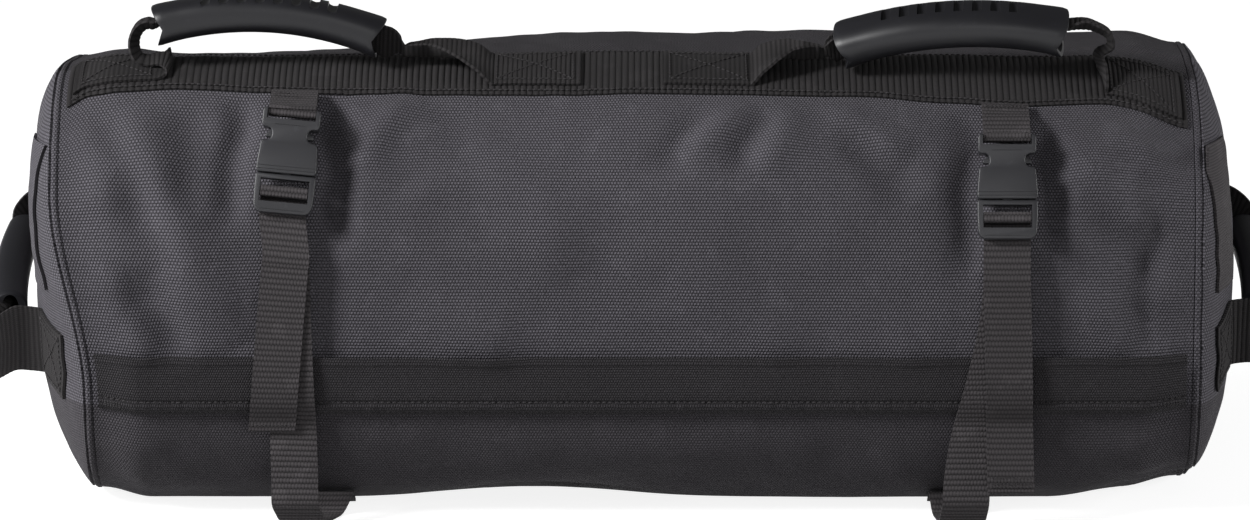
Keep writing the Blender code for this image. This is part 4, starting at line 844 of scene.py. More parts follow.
def make_weave_group():
    """Basket weave of thick threads on a map in metres: height and mask of the crossings."""
    group, nodes, given, out = new_group(
        "basket_weave", {"Map": (VECTOR, None), "Pitch": (FLOAT, 0.0013), "Slant": (FLOAT, 0.3)},
        {"Height": FLOAT, "Gap": FLOAT})
    parts = nodes.parts(given["Map"])
    row = nodes.math("DIVIDE", parts["Y"], given["Pitch"])
    along = nodes.math("DIVIDE", parts["X"], given["Pitch"])
    shift = nodes.math("MULTIPLY", nodes.math("FLOOR", row), given["Slant"])
    warp = nodes.math("POWER", nodes.ridges(nodes.math("ADD", along, shift)), THREAD_ROUNDNESS)
    weft = nodes.math("POWER", nodes.ridges(row), THREAD_ROUNDNESS)
    uneven = nodes.math("MULTIPLY_ADD", nodes.noise(given["Map"], 520.0, 2.0), 1.3, 0.35)
    rough = nodes.math("MULTIPLY", nodes.math("MULTIPLY", warp, weft), uneven)
    nodes.feed(out["Height"], rough)
    nodes.feed(out["Gap"], nodes.math("SUBTRACT", 1.0, rough))
    return group


def make_wear_and_gap_shade_group():
    """Uneven tone of used cloth: broad uneven tone and pale scuffs with lint, which are wear, and
    painted shade in the gaps between threads.
    """
    group, nodes, given, out = new_group(
        "cloth_wear_and_gap_shade", {"Colour": (COLOUR, (0.04, 0.04, 0.04, 1.0)), "Shade": (FLOAT, 0.25),
                       "Scuff": (FLOAT, 0.15), "Gap": (FLOAT, 0.0), "Depth": (FLOAT, 0.5)},
        {"Colour": COLOUR, "Roughness": FLOAT})
    place = nodes.coordinate("Object")
    broad, scuffs = nodes.noise(place, 11.0, 3.0), nodes.noise(place, 60.0, 4.0)
    tone = nodes.math("MULTIPLY", nodes.math("SUBTRACT", 0.62, broad), given["Shade"])
    shaded = nodes.toned(given["Colour"], nodes.math("SUBTRACT", 1.0, tone))
    worn = nodes.math("MULTIPLY", nodes.math("GREATER_THAN", scuffs, SCUFFED_FROM), given["Scuff"])
    scuffed = nodes.mix(worn, shaded, nodes.toned(shaded, SCUFF_LIGHT))
    # Painted shade in the gaps between threads, as strong as the gap shade input asks
    gap_shade = nodes.math("MULTIPLY", nodes.math("POWER", given["Gap"], 1.2), given["Depth"])
    nodes.feed(out["Colour"], nodes.mix(gap_shade, scuffed, nodes.toned(scuffed, GAP_SHADE)))
    nodes.feed(out["Roughness"], nodes.math("MULTIPLY_ADD", broad, 0.2, 0.68))
    return group


def make_webbing_group():
    """Threads of ribbed webbing on a map in metres, its ribs lying across the first axis."""
    group, nodes, given, out = new_group(
        "webbing_threads", {"Map": (VECTOR, None), "Rib": (FLOAT, 0.0034),
                            "Thread": (FLOAT, 0.0011)},
        {"Height": FLOAT, "Gap": FLOAT})
    parts = nodes.parts(given["Map"])
    along = nodes.math("DIVIDE", parts["X"], given["Rib"])
    across = nodes.math("DIVIDE", parts["Y"], given["Thread"])
    shifted = nodes.math("ADD", across, nodes.math("MULTIPLY", nodes.math("FLOOR", along), 0.5))
    rib = nodes.math("MULTIPLY", nodes.math("POWER", nodes.ridges(along), 1.2), 0.65)
    high = nodes.math("MULTIPLY_ADD", nodes.ridges(shifted), 0.35, rib)
    nodes.feed(out["Height"], high)
    nodes.feed(out["Gap"], nodes.math("SUBTRACT", 1.0, high))
    return group


def make_moulded_group():
    """Fine spark-eroded grain of a satin moulding, with faint flow marks and rub marks."""
    group, nodes, given, out = new_group(
        "moulded_grain", {"Colour": (COLOUR, (0.05, 0.05, 0.055, 1.0)), "Grain": (FLOAT, 3000.0)},
        {"Colour": COLOUR, "Roughness": FLOAT, "Height": FLOAT})
    place = nodes.coordinate("Object")
    flow, rubs = nodes.noise(place, 45.0, 3.0), nodes.noise(place, 240.0, 5.0)
    toned = nodes.toned(given["Colour"], nodes.math("MULTIPLY_ADD", flow, 0.35, 0.82))
    worn = nodes.math("MULTIPLY", nodes.math("GREATER_THAN", rubs, RUBBED_FROM), RUB_SHARE)
    nodes.feed(out["Colour"], nodes.mix(worn, toned, nodes.toned(toned, RUB_LIGHT)))
    nodes.feed(out["Roughness"], nodes.math("MULTIPLY_ADD", flow, 0.16, 0.34))
    nodes.feed(out["Height"], nodes.noise(place, given["Grain"], 2.0))
    return group


GROUPS, LOOKS = {}, {}
GROUP_MAKERS = {"basket_weave": make_weave_group, "cloth_wear_and_gap_shade": make_wear_and_gap_shade_group,
                "webbing_threads": make_webbing_group, "moulded_grain": make_moulded_group}


def new_material(name, roughness=None, sheen=0.0, specular=0.5):
    made = bpy.data.materials.new(name)
    made.use_nodes = True
    shader = made.node_tree.nodes["Principled BSDF"]
    if roughness is not None:
        shader.inputs["Roughness"].default_value = roughness
    shader.inputs["Sheen Weight"].default_value = sheen
    shader.inputs["Specular IOR Level"].default_value = specular
    shader.inputs["Sheen Roughness"].default_value = 0.5
    return made, Nodes(made.node_tree), shader


def shared_look(name, make, *values, **options):
    """The material of a name, made when it is first asked for."""
    if name not in LOOKS:
        LOOKS[name] = make(name, *values, **options)
    return LOOKS[name]


def make_cloth(name, colour, pitch, depth, bump, shaded_top_colour=None, shade=0.25, seams=()):
    """Woven cloth on a piece whose UV map is in metres along and round the bag.

    A smoother cloth may take over above the band and below the flap, darker there partly as
    painted shade, and sewn rows at given places of the V axis get a line of painted shade where
    they pull the cloth down. The gaps between threads are darkened as painted shade.
    """
    made, nodes, shader = new_material(name, sheen=CLOTH_SHEEN, specular=CLOTH_SPECULAR)
    uv = nodes.coordinate("UV")
    parts = nodes.parts(uv)
    weave = nodes.group("basket_weave", {"Map": uv, "Pitch": pitch, "Slant": WEAVE_SLANT})
    base, gap = (*colour, 1.0), weave["Gap"]
    # Above the band and below the flap the cloth is smoother, and its darker colour there is
    # partly painted shade of the top and of the downward-facing lower front
    if shaded_top_colour:
        on_top = nodes.math("GREATER_THAN", parts["Y"], BAND_GIRTH + TOP_CLOTH_GIRTH)
        under = nodes.math("LESS_THAN", parts["Y"], FLAP_SEWN + 0.001)
        base = nodes.mix(on_top, base, (*shaded_top_colour, 1.0))
        base = nodes.mix(under, base, (*(UNDER_GAIN * part for part in shaded_top_colour), 1.0))
        calmer = nodes.math("MULTIPLY_ADD", on_top, -TOP_CALM, 1.0)
        calmer = nodes.math("MULTIPLY_ADD", under, -UNDER_CLOTH_CALM, calmer)
        gap = nodes.math("MULTIPLY", gap, calmer)
    # Painted shade along each sewn row, where it pulls the cloth down, pulsing with the stitches
    for row in seams:
        aside = nodes.math("ABSOLUTE", nodes.math("SUBTRACT", parts["Y"], row))
        far = nodes.math("MINIMUM", 1.0, nodes.math("DIVIDE", aside, SEAM_SHADE_HALF))
        wave = nodes.math("SINE", nodes.math("MULTIPLY", parts["X"], pi / STITCH_PITCH))
        pulled = nodes.math("MULTIPLY_ADD", nodes.math("MULTIPLY", wave, wave), 1.1, 0.1)
        seam_shade = nodes.math("MULTIPLY", nodes.math("SUBTRACT", 1.0, far), pulled)
        gap = nodes.math("MAXIMUM", gap, seam_shade)
    wear = nodes.group("cloth_wear_and_gap_shade", {"Colour": base, "Gap": gap, "Depth": depth, "Shade": shade})
    nodes.finish(shader, wear["Colour"], weave["Height"], bump, WEAVE_BUMP, wear["Roughness"])
    return made


def make_sand(name):
    """Loose grains of dry sand."""
    made, nodes, shader = new_material(name, roughness=0.95)
    given = {"Vector": nodes.coordinate("Object"), "Scale": 1400.0}
    grains = nodes.add("ShaderNodeTexVoronoi", given).outputs["Distance"]
    shade = nodes.mix(grains, (0.50, 0.41, 0.28, 1.0), (0.24, 0.18, 0.11, 1.0))
    nodes.finish(shader, shade, grains, 0.6, 0.0003)
    return made


def make_zip_metal(name):
    """Dark plated zinc with rubbed edges."""
    made, nodes, shader = new_material(name, roughness=0.35)
    rubs = nodes.noise(nodes.coordinate("Object"), 500.0, 4.0)
    shade = nodes.mix(rubs, (0.06, 0.06, 0.065, 1.0), (0.16, 0.16, 0.17, 1.0))
    nodes.feed(shader.inputs["Base Color"], shade)
    shader.inputs["Metallic"].default_value = 0.9
    return made


def make_webbing(name, colour, rib, thread, depth=1.0):
    """Ribbed webbing on a piece whose UV map is in metres, along it and across it, with painted
    shade between its ribs and threads.
    """
    made, nodes, shader = new_material(name, sheen=CLOTH_SHEEN, specular=CLOTH_SPECULAR)
    uv = nodes.coordinate("UV")
    threads = nodes.group("webbing_threads", {"Map": uv, "Rib": rib, "Thread": thread})
    # The gaps between ribs and threads are darkened as painted shade, by depth
    wear = nodes.group("cloth_wear_and_gap_shade", {"Colour": (*colour, 1.0), "Gap": threads["Gap"],
                                      "Depth": depth, "Scuff": 0.25})
    nodes.finish(shader, wear["Colour"], threads["Height"], 0.9, WEAVE_BUMP, wear["Roughness"])
    return made


def make_moulding(name, colour, grain):
    """Satin moulded plastic."""
    made, nodes, shader = new_material(name, specular=0.38)
    finish = nodes.group("moulded_grain", {"Colour": (*colour, 1.0), "Grain": grain})
    nodes.finish(shader, finish["Colour"], finish["Height"], 0.12, 0.0002, finish["Roughness"])
    return made


def make_thread(name):
    """Dull sewing thread, twisted along each stitch."""
    made, nodes, shader = new_material(name, roughness=0.75, specular=CLOTH_SPECULAR)
    twist = nodes.noise(nodes.coordinate("Object"), 1500.0, 1.0)
    shade = nodes.mix(twist, (0.018, 0.017, 0.018, 1.0), (0.055, 0.052, 0.054, 1.0))
    nodes.finish(shader, shade, twist, 0.3, 0.0001)
    return made


# Sizes and colours that a user would change

class SandbagCloth(bpy.types.PropertyGroup):
    bag_colour: FloatVectorProperty(
        name="Bag cloth", description="Colour of the woven bag cloth", subtype="COLOR", size=3,
        default=(0.116, 0.110, 0.126), min=0.0, max=1.0)
    # Darker top cloth, its darkness partly painted shade; it is also the base of the darker cloth
    # below the flap
    shaded_top_colour: FloatVectorProperty(
        name="Top cloth", description="Colour of the smoother cloth on top", subtype="COLOR",
        size=3, default=(0.042, 0.039, 0.044), min=0.0, max=1.0)
    # The flap's smoother cloth, its darker colour partly painted shade of the downward-facing flap
    shaded_flap_colour: FloatVectorProperty(
        name="Flap cloth", description="Colour of the flap's smoother cloth", subtype="COLOR",
        size=3, default=(0.044, 0.041, 0.045), min=0.0, max=1.0)
    weave_pitch: FloatProperty(
        name="Weave pitch", description="Distance between threads of the bag cloth",
        default=0.0017, min=0.0005, max=0.005, unit="LENGTH")
    flap_pitch: FloatProperty(
        name="Flap weave pitch", description="Distance between threads of the flap's cloth",
        default=0.0014, min=0.0005, max=0.005, unit="LENGTH")
    mesh_step: FloatProperty(
        name="Mesh step", description="Size of the cells of the bag cloth", default=0.0033,
        min=0.001, max=0.02, unit="LENGTH")


class SandbagWebbing(bpy.types.PropertyGroup):
    band_colour: FloatVectorProperty(
        name="Band", description="Colour of the band and the handle webbing", subtype="COLOR",
        size=3, default=(0.029, 0.027, 0.028), min=0.0, max=1.0)
    strap_colour: FloatVectorProperty(
        name="Straps", description="Colour of the buckle straps", subtype="COLOR", size=3,
        default=(0.060, 0.055, 0.058), min=0.0, max=1.0)
    band_rib: FloatProperty(
        name="Band rib", description="Distance between the ribs of the wide band",
        default=0.0034, min=0.001, max=0.01, unit="LENGTH")
    handle_rib: FloatProperty(
        name="Handle rib", description="Distance between the ribs of the handle webbing",
        default=0.0026, min=0.001, max=0.01, unit="LENGTH")
    strap_rib: FloatProperty(
        name="Strap rib", description="Distance between the ribs of the buckle straps",
        default=0.0030, min=0.001, max=0.01, unit="LENGTH")
    thread_pitch: FloatProperty(
        name="Thread pitch", description="Distance between threads across webbing",
        default=0.0012, min=0.0005, max=0.005, unit="LENGTH")
    strap_thread: FloatProperty(
        name="Strap thread", description="Distance between threads across the buckle straps",
        default=0.0018, min=0.0005, max=0.005, unit="LENGTH")


class SandbagHard(bpy.types.PropertyGroup):
    colour: FloatVectorProperty(
        name="Buckles", description="Colour of the buckles", subtype="COLOR", size=3,
        default=(0.022, 0.022, 0.025), min=0.0, max=1.0)
    grip_colour: FloatVectorProperty(
        name="Grips", description="Colour of the handle grips", subtype="COLOR", size=3,
        default=(0.009, 0.009, 0.011), min=0.0, max=1.0)
    grain: FloatProperty(
        name="Grain", description="Fineness of the moulded grain", default=2600.0,
        min=100.0, max=9000.0)


class SandbagStage(bpy.types.PropertyGroup):
    view_width: FloatProperty(
        name="View width", description="Width seen at the bag's middle", default=0.6875,
        unit="LENGTH")
    distance: FloatProperty(
        name="Distance", description="Camera distance", default=3.7, unit="LENGTH")
    elevation: FloatProperty(
        name="Elevation", description="Camera angle above the horizon",
        default=radians(12.0), subtype="ANGLE")


def settings():
    scene = bpy.context.scene
    return scene.sandbag_cloth, scene.sandbag_webbing, scene.sandbag_hard, scene.sandbag_stage


def bag_cloth():
    cloth = settings()[0]
    return shared_look("basket_woven", make_cloth, cloth.bag_colour, cloth.weave_pitch, 1.0, 1.0,
                       cloth.shaded_top_colour)


def flap_cloth():
    # The flap's colour is partly painted shade of the downward-facing flap
    cloth = settings()[0]
    return shared_look("flap_cloth", make_cloth, cloth.shaded_flap_colour, cloth.flap_pitch, 0.9, 0.9,
                       shade=0.5, seams=FLAP_STITCHES)


def band_webbing():
    webbing = settings()[1]
    return shared_look("band_webbing", make_webbing, webbing.band_colour, webbing.band_rib,
                       webbing.thread_pitch)


def handle_webbing():
    webbing = settings()[1]
    return shared_look("handle_webbing", make_webbing, webbing.band_colour, webbing.handle_rib,
                       webbing.thread_pitch)


def strap_webbing():
    webbing = settings()[1]
    return shared_look("strap_webbing", make_webbing, webbing.strap_colour, webbing.strap_rib,
                       webbing.strap_thread)


def strip_webbing():
    webbing = settings()[1]
    return shared_look("strip_webbing", make_webbing, webbing.strap_colour, STRIP_RIB,
                       webbing.thread_pitch, 0.6)


def moulding():
    hard = settings()[2]
    return shared_look("buckle_moulding", make_moulding, hard.colour, hard.grain)


def grip_moulding():
    hard = settings()[2]
    return shared_look("grip_moulding", make_moulding, hard.grip_colour, hard.grain)


def thread_look():
    return shared_look("sewing_thread", make_thread)


class SANDBAG_OT_body(bpy.types.Operator):
    """Model the creased tube of cloth round the filling, slit for the zip"""
    bl_idname = "sandbag.body"
    bl_label = "Bag body"

    def execute(self, context):
        step = settings()[0].mesh_step
        low, high = ZIP_GIRTH - ZIP_SLIT_HALF, ZIP_GIRTH + ZIP_SLIT_HALF
        girths = [-HALF_GIRTH]
        for start, end in ((-HALF_GIRTH, low), (low, high), (high, HALF_GIRTH)):
            girths += spread(start, end, step)[1:]
        piece = bag_grid("bag_body", spread(-HALF_PANEL, HALF_PANEL, step), girths, cloth_point)
        edit_mesh(piece, weld, lambda: bpy.ops.mesh.select_all(action="DESELECT"))
        uv = piece.data.uv_layers.active.data
        for face in piece.data.polygons:
            middle = sum((uv[loop].uv for loop in face.loop_indices), Vector((0.0, 0.0)))
            middle /= len(face.vertices)
            face.select = abs(middle.x) < ZIP_HALF_LENGTH and low < middle.y < high
        bpy.ops.object.mode_set(mode="EDIT")
        bpy.ops.mesh.select_mode(type="FACE")
        bpy.ops.mesh.delete(type="FACE")
        bpy.ops.object.mode_set(mode="OBJECT")
        thicken(piece, FABRIC, -1.0)
        apply_all(piece)
        smooth(piece)
        finish_piece(piece, bag_cloth(), "bag", "bag_cloth", "main_panel")
        return {"FINISHED"}


END_CELLS, CORD_CELLS = (44, 220), (260, 10)      # out and round, round and about the cord


class SANDBAG_OT_ends(bpy.types.Operator):
    """Model the bulged end panels and their corded seams"""
    bl_idname = "sandbag.ends"
    bl_label = "End panels"

    def execute(self, context):
        for side, word in SIDES:
            self.panel(side, word)
            self.binding(side, word)
        return {"FINISHED"}

    def panel(self, side, word):
        rings, turns = END_CELLS

        def polar(turn, ring):
            angle = -pi + 2 * pi * turn / turns
            return angle, ring / rings, *section_point(angle)

        def place(turn, ring):
            angle, share, y, z = polar(turn, ring)
            y, z = y * share * END_SHRINK, z * share * END_SHRINK
            tuck = lower_tuck(side * HALF_PANEL, girth_at_angle(angle))
            inward = section_normal(angle) * -tuck * smooth_step(share * 2.0 - 1.0)
            height = MIDDLE + z + inward.y - end_slump(side, y, z)
            return Vector((end_place(side, y, z) - side * FABRIC, y + inward.x + SHIFT_Y,
                           max(FABRIC, height)))

        def chart(turn, ring):
            share, y, z = polar(turn, ring)[1:]
            return (y * share, z * share)

        piece = shaped_grid("end_cloth_" + word, turns, rings, place, chart)
        edit_mesh(piece, weld)
        if sum(face.normal.x * face.area for face in piece.data.polygons) * side < 0:
            edit_mesh(piece, bpy.ops.mesh.flip_normals)
        thicken(piece, FABRIC, 1.0)
        apply_all(piece)
        smooth(piece)
        finish_piece(piece, bag_cloth(), "bag", "bag_cloth", "end_panel_" + word)

    def binding(self, side, word):
        around, section = CORD_CELLS

        def girth_at(number):
            return between(-HALF_GIRTH, HALF_GIRTH, number / around)

        def place(number, turn):
            girth = girth_at(number)
            centre = cloth_point(side * HALF_PANEL, girth, -BINDING_RADIUS)
            normal = section_normal(girth_angle(girth))
            spin = 2 * pi * turn / section
            radius = CORD_RADIUS * (1.0 + CORD_UNEVEN * ripple(girth * 60.0, side * 4.0))
            return Vector((centre.x + side * (BINDING_RADIUS + GAP) + radius * cos(spin),
                           centre.y + normal.x * radius * sin(spin),
                           max(centre.z, CORD_LOWEST) + normal.y * radius * sin(spin)))

        piece = shaped_grid("seam_cord_" + word, around, section, place,
                            lambda number, turn: (CORD_ROUND * turn / section, girth_at(number)))
        edit_mesh(piece, weld, face_outwards)
        smooth(piece)
        finish_piece(piece, bag_cloth(), "bag", "webbing", "end_binding_" + word)


BAND_END_MARGIN, BAND_CELL, BAND_SELVAGE = 0.003, 0.0035, 0.003
BAND_RIB_CELLS = 6
FLAP_CELL_ALONG, FLAP_CELL_ROUND = 0.0015, 0.0008


class SANDBAG_OT_band(bpy.types.Operator):
    """Lay the wide ribbed webbing band along the upper front shoulder"""
    bl_idname = "sandbag.band"
    bl_label = "Top band"

    def execute(self, context):
        pitch = settings()[1].band_rib
        reach = HALF_PANEL - BAND_END_MARGIN
        xs = spread(-reach, reach, pitch / BAND_RIB_CELLS)
        girths = spread(BAND_GIRTH - BAND_WIDTH / 2, BAND_GIRTH + BAND_WIDTH / 2, BAND_CELL)

        def lift(x, girth):
            edge = (BAND_WIDTH / 2 - abs(girth - BAND_GIRTH)) / BAND_SELVAGE
            return GAP + BAND_RELIEF * rib_profile(x, pitch) * smooth_step(edge)

        piece = laid_sheet("top_band_webbing", xs, girths, lift, WEB - BAND_RELIEF)
        finish_piece(piece, band_webbing(), "bag", "webbing", "top_band")
        return {"FINISHED"}


class SANDBAG_OT_flap(bpy.types.Operator):
    """Lay the storm flap over the zip, sewn along its lower edge, its upper edge free"""
    bl_idname = "sandbag.flap"
    bl_label = "Zip flap"

    def execute(self, context):
        reach = HALF_PANEL - FLAP_END_MARGIN
        xs = spread(-reach, reach, FLAP_CELL_ALONG)
        girths = spread(FLAP_SEWN, FLAP_HIGH, FLAP_CELL_ROUND)
        piece = laid_sheet("zip_flap_cloth", xs, girths, flap_lift, FABRIC)
        finish_piece(piece, flap_cloth(), "bag", "bag_cloth", "zip_flap")
        return {"FINISHED"}


def wrapped_tube(name, stations, turns, place):
    """A closed skin: stations run along the outside and back through the bore, turns go round."""
    piece = shaped_grid(name, stations, turns, place,
                        lambda column, row: (column * 0.001, row * 0.002))
    edit_mesh(piece, weld, face_outwards)
    smooth(piece)
    return piece


def ring_point(turn, turns, squareness, half_depth, half_height):
    angle = 2 * pi * turn / turns
    radius = (abs(cos(angle)) ** squareness + abs(sin(angle)) ** squareness) ** (-1.0 / squareness)
    return -radius * cos(angle) * half_depth, radius * sin(angle) * half_height


def swing_frame(word):
    """Place and turn of a top handle's swing axis, which runs along its X."""
    joint = JOINTS["top_handle_%s_swing" % word]
    axis = Vector(joint["axis"])
    turned = Euler((GRIP_FALLS[word], -asin(axis.z), atan2(axis.y, axis.x))).to_matrix().to_4x4()
    return Matrix.Translation(joint["pos_m"]) @ turned


def grip_frame(word):
    """Place and turn of a top grip: its middle line runs along X."""
    stand = Matrix.Translation((0.0, 0.0, GRIP_STANDS[word]))
    return swing_frame(word) @ stand @ Matrix.Rotation(GRIP_TILTS[word], 4, "Y")


GRIP_TURNS, GRIP_CELLS, BORE_CELLS = 56, 12, 40
GRIP_FLARE = 0.035               # share by which a grip widens over its last quarter
GRIP_ROUNDING, GRIP_LIP = 0.0008, 0.0040         # of its rim, and the length that it draws in
# The bore: half depth and half height deep inside, how far in they are reached, squareness
BORE_DEPTH, BORE_HEIGHT, BORE_TAPER, BORE_SQUARENESS = 0.0086, 0.0045, 0.020, 2.4


class SANDBAG_OT_top_grips(bpy.types.Operator):
    """Mould the two arched top grips, notched on top, with their V-cut hollow ends"""
    bl_idname = "sandbag.top_grips"
    bl_label = "Top grips"

    def execute(self, context):
        for word in ("left", "right"):
            self.grip(word)
        return {"FINISHED"}

    def grip(self, word):
        half = GRIP_LENGTH / 2
        stops = [0.0]
        for number in range(NOTCH_COUNT // 2):
            middle = (number + 0.5) * NOTCH_PITCH
            stops += [middle - NOTCH_LENGTH / 2 - 0.0002, middle - NOTCH_LENGTH / 2 + 0.0001,
                      middle - NOTCH_LENGTH / 3, middle, middle + NOTCH_LENGTH / 3,
                      middle + NOTCH_LENGTH / 2 - 0.0001, middle + NOTCH_LENGTH / 2 + 0.0002]
        last = stops[-1]
        stops += [between(last, half - GRIP_ROUNDING / 2, step / GRIP_CELLS)
                  for step in range(1, GRIP_CELLS + 1)] + [half]
        outside = [-x for x in reversed(stops[1:])] + stops
        inside = [between(half, -half, step / BORE_CELLS) for step in range(BORE_CELLS + 1)]
        xs, turns = outside + inside + [outside[0]], GRIP_TURNS
        matrix = grip_frame(word)

        def place(column, turn):
            x = xs[column]
            along = x / half
            near_end = smooth_step((abs(x) - half + GRIP_LIP) / GRIP_LIP)
            flare = 1.0 + GRIP_FLARE * smooth_step((abs(along) - 0.75) / 0.25)
            if len(outside) <= column < len(outside) + len(inside):
                deep = smooth_step((half - abs(x)) / BORE_TAPER)
                depth = between(GRIP_HALF_DEPTH - GRIP_WALL, BORE_DEPTH, deep)
                height = between(GRIP_HALF_HEIGHT - GRIP_WALL, BORE_HEIGHT, deep)
                y, z = ring_point(turn, turns, BORE_SQUARENESS, depth, height)
            else:
                rim = smooth_step((abs(x) - half + GRIP_ROUNDING) / GRIP_ROUNDING)
                rounded = 1.0 - 0.05 * near_end * rim
                y, z = ring_point(turn, turns, GRIP_SQUARENESS, GRIP_HALF_DEPTH * flare * rounded,
                                  GRIP_HALF_HEIGHT * flare * rounded)
                spot = abs(x) / NOTCH_PITCH - 0.5
                number = min(NOTCH_COUNT // 2 - 1, max(0, round(spot)))
                aside = abs(abs(x) - (number + 0.5) * NOTCH_PITCH)
                if aside <= NOTCH_LENGTH / 2 + 0.00005 and z > 0 and y > NOTCH_FRONTS[word]:
                    floor = 1.0 - 0.25 * (aside / (NOTCH_LENGTH / 2)) ** 2
                    z = min(z, GRIP_HALF_HEIGHT - NOTCH_DEPTH * floor)
            inset = GRIP_END_CUT * (1.0 - min(1.0, abs(z) / GRIP_HALF_HEIGHT)) * abs(along) ** 6
            x -= inset * (1.0 if x > 0 else -1.0)
            x += z * 1.4 * GRIP_ARCH * along / half
            return matrix @ Vector((x * GRIP_SHRINK, y, z + GRIP_ARCH * (1.0 - along * along)))

        piece = wrapped_tube("top_grip_" + word, len(xs) - 1, turns, place)
        finish_piece(piece, grip_moulding(), "top_handle_" + word, "moulded_plastic",
                     "top_handle_%s_grip" % word)


def sewn_rows(x_from, x_to, lift):
    """Lines across handle webbing lying on the band."""
    xs = spread(min(x_from, x_to), max(x_from, x_to), 0.003)
    return [[cloth_point(x, BAND_GIRTH - HANDLE_WEB * (cell / WEB_CELLS - 0.5), lift)
             for cell in range(WEB_CELLS + 1)]
            for x in (xs if x_from < x_to else reversed(xs))]


def free_rows(path, sign):
    """Lines across a free run of webbing: centres, directions across, half widths and folds."""
    rows = []
    for number, (centre, across, half_width, fold) in enumerate(path):
        before, after = path[max(0, number - 1)][0], path[min(len(path) - 1, number + 1)][0]
        outward = (after - before).cross(across).normalized() * sign
        rows.append(folded_row(centre, across, outward, half_width, radians(fold), WEB_CELLS))
    return rows


# Box stitches: their distance from the patch's far end, from its fold and from its sides
BOX_FROM_END, BOX_FROM_FOLD, BOX_FROM_SIDE = 0.004, 0.003, 0.0035
# The inner run's fan: shares of its length that get a line, its rise and its waver, and at its
# pinch the half width, the fold in degrees and the share of the half width that it sinks
FAN_SHARES = (0.14, 0.28, 0.42, 0.56, 0.70, 0.84, 0.94)
FAN_RISE, FAN_WAVER, FAN_HALF, FAN_FOLD, FAN_SINK = 0.0034, 0.0035, 0.0078, 64.0, 0.42
PINCH_DROP, PINCH_HALF, PINCH_FOLD = 0.0034, 0.0070, 76.0
INNER_BLEND, OUTER_BLEND = (-0.010, 0.006), (-0.004, 0.004)   # before and behind the pinch
OUTER_PINCH = 0.013              # from the grip's end
OUTER_INSIDE = ((0.007, 0.0066, 35.0), (0.018, 0.0062, 40.0))    # as in INNER_STANDING


